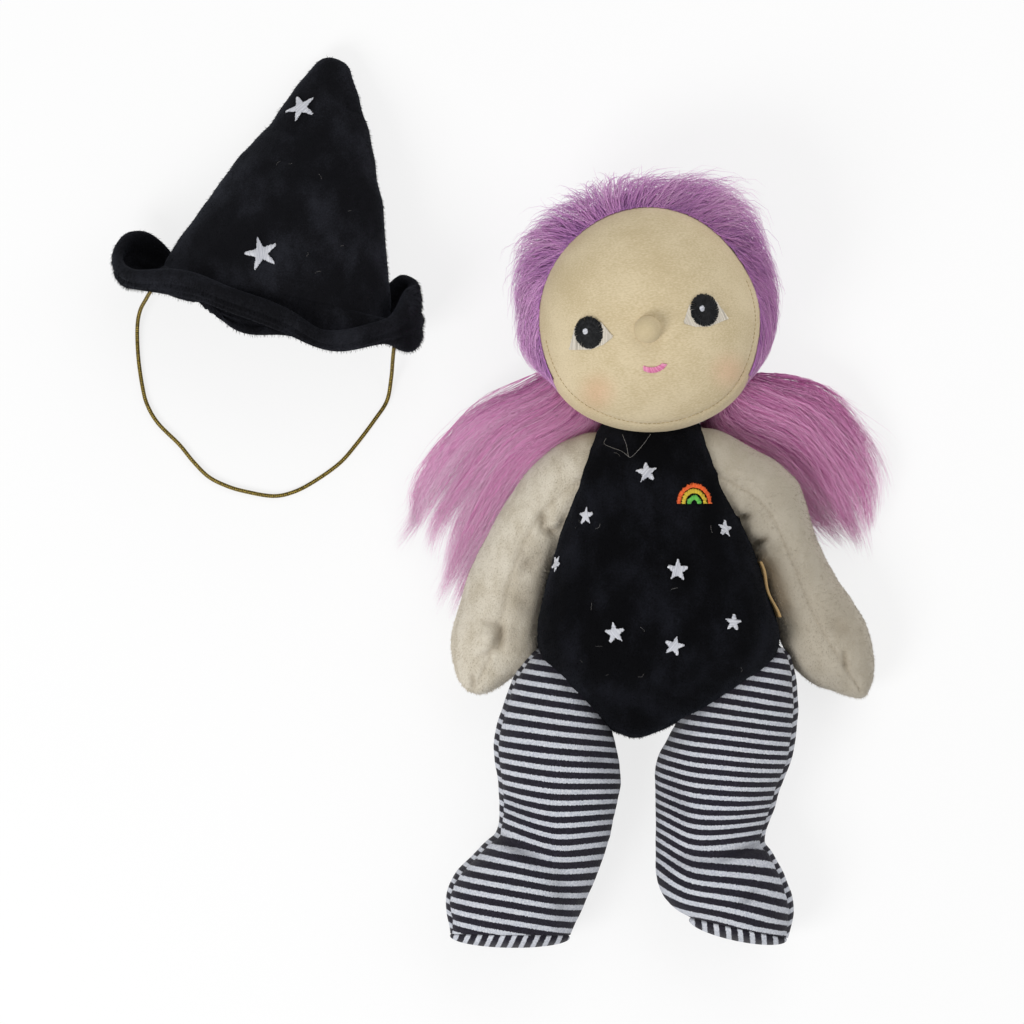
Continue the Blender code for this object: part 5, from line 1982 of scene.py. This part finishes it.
@dataclass
class Elastic:
    """The hat's gold elastic, from one side of the brim to the other."""

    route: Ribs = (
        (-164, 97.4, 17.8), (-164.6, 94.6, 15.6),
        (-166.6, 91.3, 10.5), (-168.8, 87.4, 5), (-169.8, 81.8, 1.8),
        (-169.5, 72.4, 0.9), (-168.2, 63.1, 0.9), (-166.6, 56.9, 0.9), (-163, 50.8, 0.9), (-156.2, 44, 0.9),
        (-151.7, 38.5, 0.9), (-146.8, 33.6, 0.9), (-141.3, 30.7, 0.9),
        (-135.2, 28.8, 0.9), (-125.8, 27.2, 0.9),
        (-119, 28.5, 0.9), (-112.2, 32, 0.9), (-104.1, 37.8, 0.9), (-98.6, 44, 0.9), (-92.5, 52.1, 0.9),
        (-88.6, 58.2, 1), (-87.2, 65.4, 3.4), (-86.6, 71.6, 9.6), (-86.1, 76.4, 15), (-86, 79.8, 16),
    )
    radius: float = 0.65 * MM
    sides: int = 12
    steps: int = 360

    def build(self) -> None:
        route = np.array(self.route) * MM
        line = spline(route, np.linspace(0, len(route) - 1, self.steps))
        along = unit(np.gradient(line, axis=0))
        side = unit(np.cross(along, (0.0, 0.0, 1.0)), 1e-9)
        up = np.cross(side, along)
        turn = circle(self.sides)[None, :, None]
        points = line[:, None] + self.radius * np.cos(turn) * side[:, None]
        points = points + self.radius * np.sin(turn) * up[:, None]
        faces = ring_faces(self.steps, self.sides, (0, self.steps - 1))
        cord = make_object("hat_elastic_braid", points, faces, Finish.ELASTIC)
        length = running_length(line)
        uv = np.zeros((self.steps, self.sides + 1, 2))
        uv[:, :, 0] = np.arange(self.sides + 1)[None, :] / self.sides * 2 * math.pi * self.radius
        uv[:, :, 1] = length[:, None]
        set_uv(cord.data, [uv], np.zeros(self.sides, int))
        tidy_mesh(cord)
        dress(cord, Finish.ELASTIC, ("hat_elastic",))


@dataclass
class Doll:
    """The doll's body: torso, arms, legs, head, hair and embroidery."""

    torso_pile: int = 10500
    torso_pile_length: float = 0.7 * MM
    arm_pile: int = 6500
    arm_pile_length: float = 0.75 * MM
    torso_ribs: Ribs = (
        (-2.3, 58.9, -2.3, 58.9, 24, 0), (-14.5, 55.5, 10, 55.5, 24, 10), (-20.1, 48.5, 14.6, 48.5, 24, 14),
        (-26.8, 35.6, 20.1, 35.6, 23.5, 19), (-32.7, 16.2, 28.1, 16.2, 22.5, 23),
        (-37.2, -3.2, 34.6, -3.2, 23.5, 25), (-39.5, -16.2, 38.8, -16.2, 23.5, 25),
        (-38, -25, 37.2, -24.3, 22.5, 24), (-32.6, -32.3, 29.1, -32.3, 21, 22),
        (-25.4, -40.4, 16.8, -40.4, 18.5, 18), (-18.4, -47.2, 3.2, -47.2, 17, 12),
        (-7.6, -51.2, -7.6, -51.2, 16, 0),
    )
    arm_ribs_right: Ribs = (
        (-6.5, 35.6, -6.5, 35.6, 24, 0), (-14.6, 48.6, -8.1, 30.4, 24, 9), (-31.6, 44.6, -19.1, 21, 22.5, 12),
        (-46.1, 30.6, -29.6, 13.4, 20, 12), (-57.4, 11.2, -35.8, 1.2, 17, 11),
        (-64.4, -6.6, -37.2, -13.3, 14, 12),
        (-67.6, -19.4, -41.2, -26, 12, 12.5), (-66, -30.4, -50.5, -33.6, 11, 9.5),
        (-59.8, -36.9, -59.8, -36.9, 11, 0),
    )
    arm_ribs_left: Ribs = (
        (4.2, 30.3, 4.2, 30.3, 24, 0), (4.8, 31, 10.4, 49.8, 24, 9), (14.2, 21.3, 28, 44, 22.5, 12),
        (25.1, 13.7, 43.4, 32.8, 20, 12), (33, 2.1, 51.7, 10.8, 17, 11), (37.8, -16.8, 61.1, -5.2, 14, 12),
        (46.2, -30.9, 68.6, -18.1, 12, 12.5),
        (57.2, -36.2, 69.5, -30.4, 11, 8.5), (66, -38.5, 66, -38.5, 11, 0),
    )
    leg_ribs_right: Ribs = (
        (-30.4, -17.5, -30.4, -17.5, 18, 0),
        (-37.2, -20.1, -22, -22, 18, 8), (-43, -25.2, -17.5, -28.5, 17, 12),
        (-48.5, -34, -15.2, -38.8, 16, 15), (-52.7, -46.9, -14.9, -50.1, 16, 17),
        (-53.4, -59.8, -12.6, -63.1, 16, 17.5), (-52.1, -71.1, -13.9, -72.8, 15.5, 16.5),
        (-52.7, -80.2, -15.8, -83.4, 15, 16), (-58.9, -87.3, -18.4, -91.2, 15, 16),
        (-66.3, -94.8, -20.7, -97, 15, 16), (-69.5, -104.1, -24.6, -105.1, 15, 16),
        (-68, -114.5, -29.1, -115.1, 14.5, 14.5),
    )
    leg_ribs_left: Ribs = (
        (29.8, -18.1, 29.8, -18.1, 18, 0), (21, -22.6, 38.2, -20.1, 18, 8), (12.9, -30.7, 43, -25.9, 17, 12),
        (7.1, -40.4, 44.6, -35.6, 16, 15), (2.6, -51.1, 44.3, -46.9, 16, 17),
        (-1.3, -61.4, 42, -59.8, 16, 17.5),
        (-1.3, -74.4, 37.5, -72.8, 15.5, 16.5), (-1.3, -85.7, 34.3, -82.8, 15, 16),
        (-1.3, -94.4, 37.5, -90.6, 15, 16), (-0.3, -100.9, 41.4, -98.6, 15, 16),
        (3.9, -106.1, 43.3, -106.7, 15, 16), (9.7, -109.3, 41.4, -116, 14.5, 14.5),
    )
    bunch_ribs_right: Ribs = (
        (-31.6, 66, -31.6, 66, 18, 0), (-37.2, 67.3, -18.5, 51, 17, 6), (-45.9, 63.4, -21, 42.5, 13, 8.5),
        (-58.2, 57.6, -36.2, 33, 9, 9), (-68.6, 45.9, -46.9, 19.4, 7, 7.5), (-77.6, 29.1, -57.6, 4.5, 6, 6.5),
        (-79.5, 17.8, -65.3, -7.8, 4.5, 4.5), (-76.4, 2.6, -76.4, 2.6, 3, 0),
    )
    bunch_ribs_left: Ribs = (
        (26.4, 65.4, 26.4, 65.4, 18, 0), (15.5, 55.5, 31, 66.6, 17, 6), (15.5, 44.5, 42, 65.3, 13, 8.5),
        (32.3, 35.6, 55, 60.8, 9, 9), (43.7, 22.6, 65.3, 50.1, 7, 7.5), (51.1, 11.3, 73.7, 36.2, 6, 6.5),
        (57.6, 5.8, 74.5, 22, 4.5, 4.5), (69.3, 10.3, 69.3, 10.3, 3, 0),
    )

    def build(self, shop: Workshop) -> None:
        """Makes every piece of the doll.

        Args:
            shop: the trees for fibres and pile.
        """
        torso = StuffedPiece(
            "torso_cloth",
            self.torso_ribs,
            Finish.VELOUR,
            ("torso_front_panel", "torso_back_panel", "torso_stuffing"),
            rows=120,
            around=120,
            roundness=2.4,
            lump=0.5 * MM,
            creases=creases(
                (-26, -30, -16, -44, 3, -0.8), (-14, -24, -8, -42, 3.5, 0.9), (31, -6, 34, -22, 2.5, 0.7),
                (-32, 8, -35, -14, 2.5, 0.6),
            ),
            seed=2,
        )
        arms = [self.arm("right", self.arm_ribs_right, 3), self.arm("left", self.arm_ribs_left, 4)]
        head = Head()
        ball = grid_tree(head.ball(0.0, 0.0, math.pi, 40))
        body = torso.build([grid_tree(arm.skin()) for arm in arms] + [ball])
        shop.pile.plant(body, self.torso_pile, self.torso_pile_length, Finish.VELOUR, 11)
        for number, arm in enumerate(arms):
            limb = arm.build([grid_tree(torso.skin()), ball])
            shop.pile.plant(limb, self.arm_pile, self.arm_pile_length, Finish.SKIN, 12 + number)
        for leg in self.legs():
            leg.build([grid_tree(torso.skin())])
            leg.build_sole()
        Chest().build(shop, body)
        SideTape().build(torso.skin())
        head.build(shop)
        Wig(head).build(shop)
        right_locks = (
            Lock(-0.64, 0.22, -1.58, 6.95),
            Lock(-0.24, 0.28, -0.42, 6.25, 0.75),
            Lock(0.28, 0.32, 0.5, 6.7),
            Lock(0.74, 0.22, 0.95, 6.5),
        )
        left_locks = (
            Lock(-0.7, 0.30, -0.5, 5.8),
            Lock(-0.15, 0.32, -0.1, 6.4),
            Lock(0.35, 0.28, 0.3, 6.2),
            Lock(0.70, 0.20, 0.66, 5.9, 0.6),
            Lock(0.9, 0.14, 1.0, 5.7, 0.2),
            Lock(0.1, 0.5, 0.1, 7.0, 0.07),
        )
        HairBunch("bunch_right", self.bunch_ribs_right, "hair_bunch_right", right_locks, 51).build(shop)
        HairBunch("bunch_left", self.bunch_ribs_left, "hair_bunch_left", left_locks, 52, -0.16, 0.12).build(
            shop
        )

    def arm(self, side: str, ribs: Ribs, seed: int) -> StuffedPiece:
        """One arm, with a seam down the middle of its front and back.

        Args:
            side: right or left.
            ribs: its ribs.
            seed: what makes it uneven.

        Returns:
            The arm, not yet built.
        """
        folds = {
            "right": (
                (-57, -13.2, -51.6, -15, 1.2, 1.2), (-51.2, -14.5, -51.6, -22.5, 1.2, 2.9),
                (-51.8, -22, -58.5, -25, 1.1, 0.9), (-55.6, -16.5, -55.6, -21, 3, -1.9),
                (-38.4, 21.6, -37.8, 16.2, 1.3, 2.8), (-37.6, 16.4, -33.5, 14.4, 1.3, 2),
                (-34.4, 19.8, -34.2, 18, 2.3, -1.7), (-45.5, 3, -40.5, 6.5, 2.2, 0.9),
                (-47, -5, -42.5, -8.5, 2.6, 0.8), (-61, -30.5, -60.5, -36, 1, 1.2),
            ),
            "left": (
                (24, 18.6, 29, 20.6, 1, 2.2), (28.5, 10.4, 34.5, 13.2, 1, 2.2),
                (24.5, 24, 27, 22.4, 2.6, -1.1),
                (28.2, 16.6, 31, 14.6, 2.6, -1.3),
                (32.5, 8, 34.5, 5.5, 2.4, -0.7), (55, -13, 62, -17, 2.8, 0.9),
                (59.6, -23, 60.6, -29.5, 0.9, 1.3),
            ),
        }
        nodes = (f"arm_{side}_inner_panel", f"arm_{side}_outer_panel", f"arm_{side}_stuffing")
        return StuffedPiece(
            f"arm_{side}_cloth",
            ribs,
            Finish.SKIN,
            nodes,
            rows=124,
            around=104,
            seams=(90.0, 270.0),
            creases=creases(*folds[side]),
            seed=seed,
        )

    def leg(self, side: str, ribs: Ribs, **shape: object) -> StripedLeg:
        """One leg, not yet built."""
        nodes = tuple(f"leg_{side}_{part}" for part in ("front_panel", "back_panel", "stuffing"))
        return StripedLeg(f"leg_{side}_cloth", ribs, Finish.STRIPES, nodes, side=side, rows=130, **shape)

    def legs(self) -> list[StripedLeg]:
        """Both legs, not yet built. Each outer seam lies a little towards the front."""
        right = self.leg(
            "right",
            self.leg_ribs_right,
            seams=(161.0, 350.0),
            creases=creases(
                (-55, -81.5, -37, -92, 1.7, 1.9),
                (-17, -60, -24, -56, 2.6, 1), (-33, -92, -30.5, -110, 3, 1.2),
                (-50, -90, -38, -97, 3, -0.9), (-51, -72, -42, -76, 3, 0.7),
            ),
            seed=5,
            slants=(
                (-116, -11, -4), (-108, -11, -2), (-97, -13, 2),
                (-90, -20, 4), (-85, -19, 5), (-76, -12, 3),
                (-60, -8, -4), (-45, -9, -8), (-20, -7, -12),
            ),
            low_fold=0.6,
            sole_lean=-0.45,
            kink=-34.0,
        )
        left = self.leg(
            "left",
            self.leg_ribs_left,
            seams=(19.0, 190.0),
            creases=creases(
                (16, -91, 37, -84.5, 1.6, 2), (26.5, -104, 32, -100.5, 1.5, 1.6),
                (28, -105.5, 38, -108.5, 2.2, -0.7), (2, -64, 8, -78, 3, 1), (3, -90, 17, -91.5, 2.6, 1.2),
            ),
            seed=6,
            slants=(
                (-116, -12, -11), (-108, -20, -8), (-97, -32, -3),
                (-92.5, -36, 1), (-88, -36, 6), (-83, -36, 4),
                (-76, -34, -1), (-60, -22, -6), (-45, -12, -9), (-20, -10, -9),
            ),
            high_fold=-0.2,
            tightness=1.08,
            sole_lean=0.12,
            kink=9.0,
        )
        return [right, left]


@dataclass
class SideTape:
    """A folded bit of plain tape caught in the doll's left side seam."""

    middle: float = -3.0 * MM
    length: float = 18.0 * MM
    root: float = 24.5 * MM
    height: float = 6.5 * MM
    thick: float = 0.9 * MM
    steps: int = 24

    def build(self, torso: Array) -> None:
        """Makes the tape.

        Args:
            torso: the torso's smooth surface as rows, places around and xyz.
        """
        edge = torso[:, 0]
        order = np.argsort(edge[:, 1])
        points = []
        for y in np.linspace(self.middle - self.length / 2, self.middle + self.length / 2, self.steps):
            x = float(np.interp(y, edge[order, 1], edge[order, 0]))
            ring = []
            for share in shares(9):
                curl = 0.5 * MM * math.sin(y * 420.0) * share + 0.9 * MM * share**2
                ring.append((x - 0.8 * MM + curl, y, self.root + self.height * share))
            ring += [(px + self.thick, py, pz) for px, py, pz in reversed(ring)]
            points.append(ring)
        grid = np.array(points)
        faces = ring_faces(self.steps, grid.shape[1], (0, self.steps - 1))
        tape = make_object("side_tape", grid, faces, Finish.RIBBON)
        tidy_mesh(tape)
        dress(tape, Finish.RIBBON, ("side_tab",))


@dataclass(frozen=True)
class Studio:
    """The pale floor, the soft lamps and the camera right above. A lamp is its place, power and width."""

    floor_half: float = 6.0
    floor_height: float = -0.4 * MM
    floor_glow: float = 0.78
    sky: float = 0.4
    lamps: tuple = (
        ("key", (-0.75, -0.6, 0.95), 10.6, 0.6),
        ("fill", (0.95, 0.35, 0.85), 3.7, 0.9),
        ("top", (0.2, 0.95, 0.85), 3.6, 0.8),
    )
    lit_spot: tuple = (-0.04, 0.02, 0.02)
    camera_place: tuple = (-0.0479, 0.0220, 4.0)
    view_height: float = 0.025
    view_width: float = 0.3312
    sensor: float = 36.0

    def build(self) -> None:
        """Makes them all."""
        scene = bpy.context.scene
        self.make_floor()
        world = bpy.data.worlds.new("studio")
        scene.world = world
        world.use_nodes = True
        background = world.node_tree.nodes["Background"]
        background.inputs["Color"].default_value = (1.0, 1.0, 1.0, 1.0)
        background.inputs["Strength"].default_value = self.sky
        for name, place, power, width in self.lamps:
            lamp = bpy.data.lights.new(name, "AREA")
            lamp.energy = power
            lamp.size = width
            stand = add_object(name, lamp)
            stand.location = place
            stand.rotation_euler = (Vector(self.lit_spot) - Vector(place)).to_track_quat("-Z", "Y").to_euler()
        camera = bpy.data.cameras.new("camera")
        camera.sensor_width = self.sensor
        camera.lens = self.sensor * (self.camera_place[2] - self.view_height) / self.view_width
        camera.clip_end = 20.0
        scene.camera = add_object("camera", camera)
        scene.camera.location = self.camera_place
        scene.view_settings.view_transform = "Standard"

    def make_floor(self) -> None:
        """A matte sheet that the camera sees as nearly white."""
        size, height = self.floor_half, self.floor_height
        corners = [(-size, -size, height), (size, -size, height), (size, size, height), (-size, size, height)]
        mesh = bpy.data.meshes.new("floor")
        mesh.from_pydata(corners, [], [(0, 1, 2, 3)])
        graph = Graph("floor_paper")
        matte = graph.node("ShaderNodeBsdfDiffuse", {}, {"Color": (0.9, 0.9, 0.9)})
        glow = graph.node("ShaderNodeEmission", {}, {"Color": (1.0, 1.0, 1.0), "Strength": 1.0})
        seen = graph.node("ShaderNodeLightPath", out="Is Camera Ray") * self.floor_glow
        both = graph.node("ShaderNodeMixShader", {}, [seen, matte, glow])
        graph.tree.links.new(both.socket, graph.output.inputs["Surface"])
        mesh.materials.append(graph.material)
        add_object("floor", mesh)


def main() -> None:
    """Builds the scene."""
    logging.basicConfig(level=logging.INFO, format="%(name)s %(message)s")
    Studio().build()
    Elastic().build()
    shop = Workshop(TubeTree(), PileTree())
    Doll().build(shop)
    Hat().build(shop)


if __name__ == "__main__":
    main()
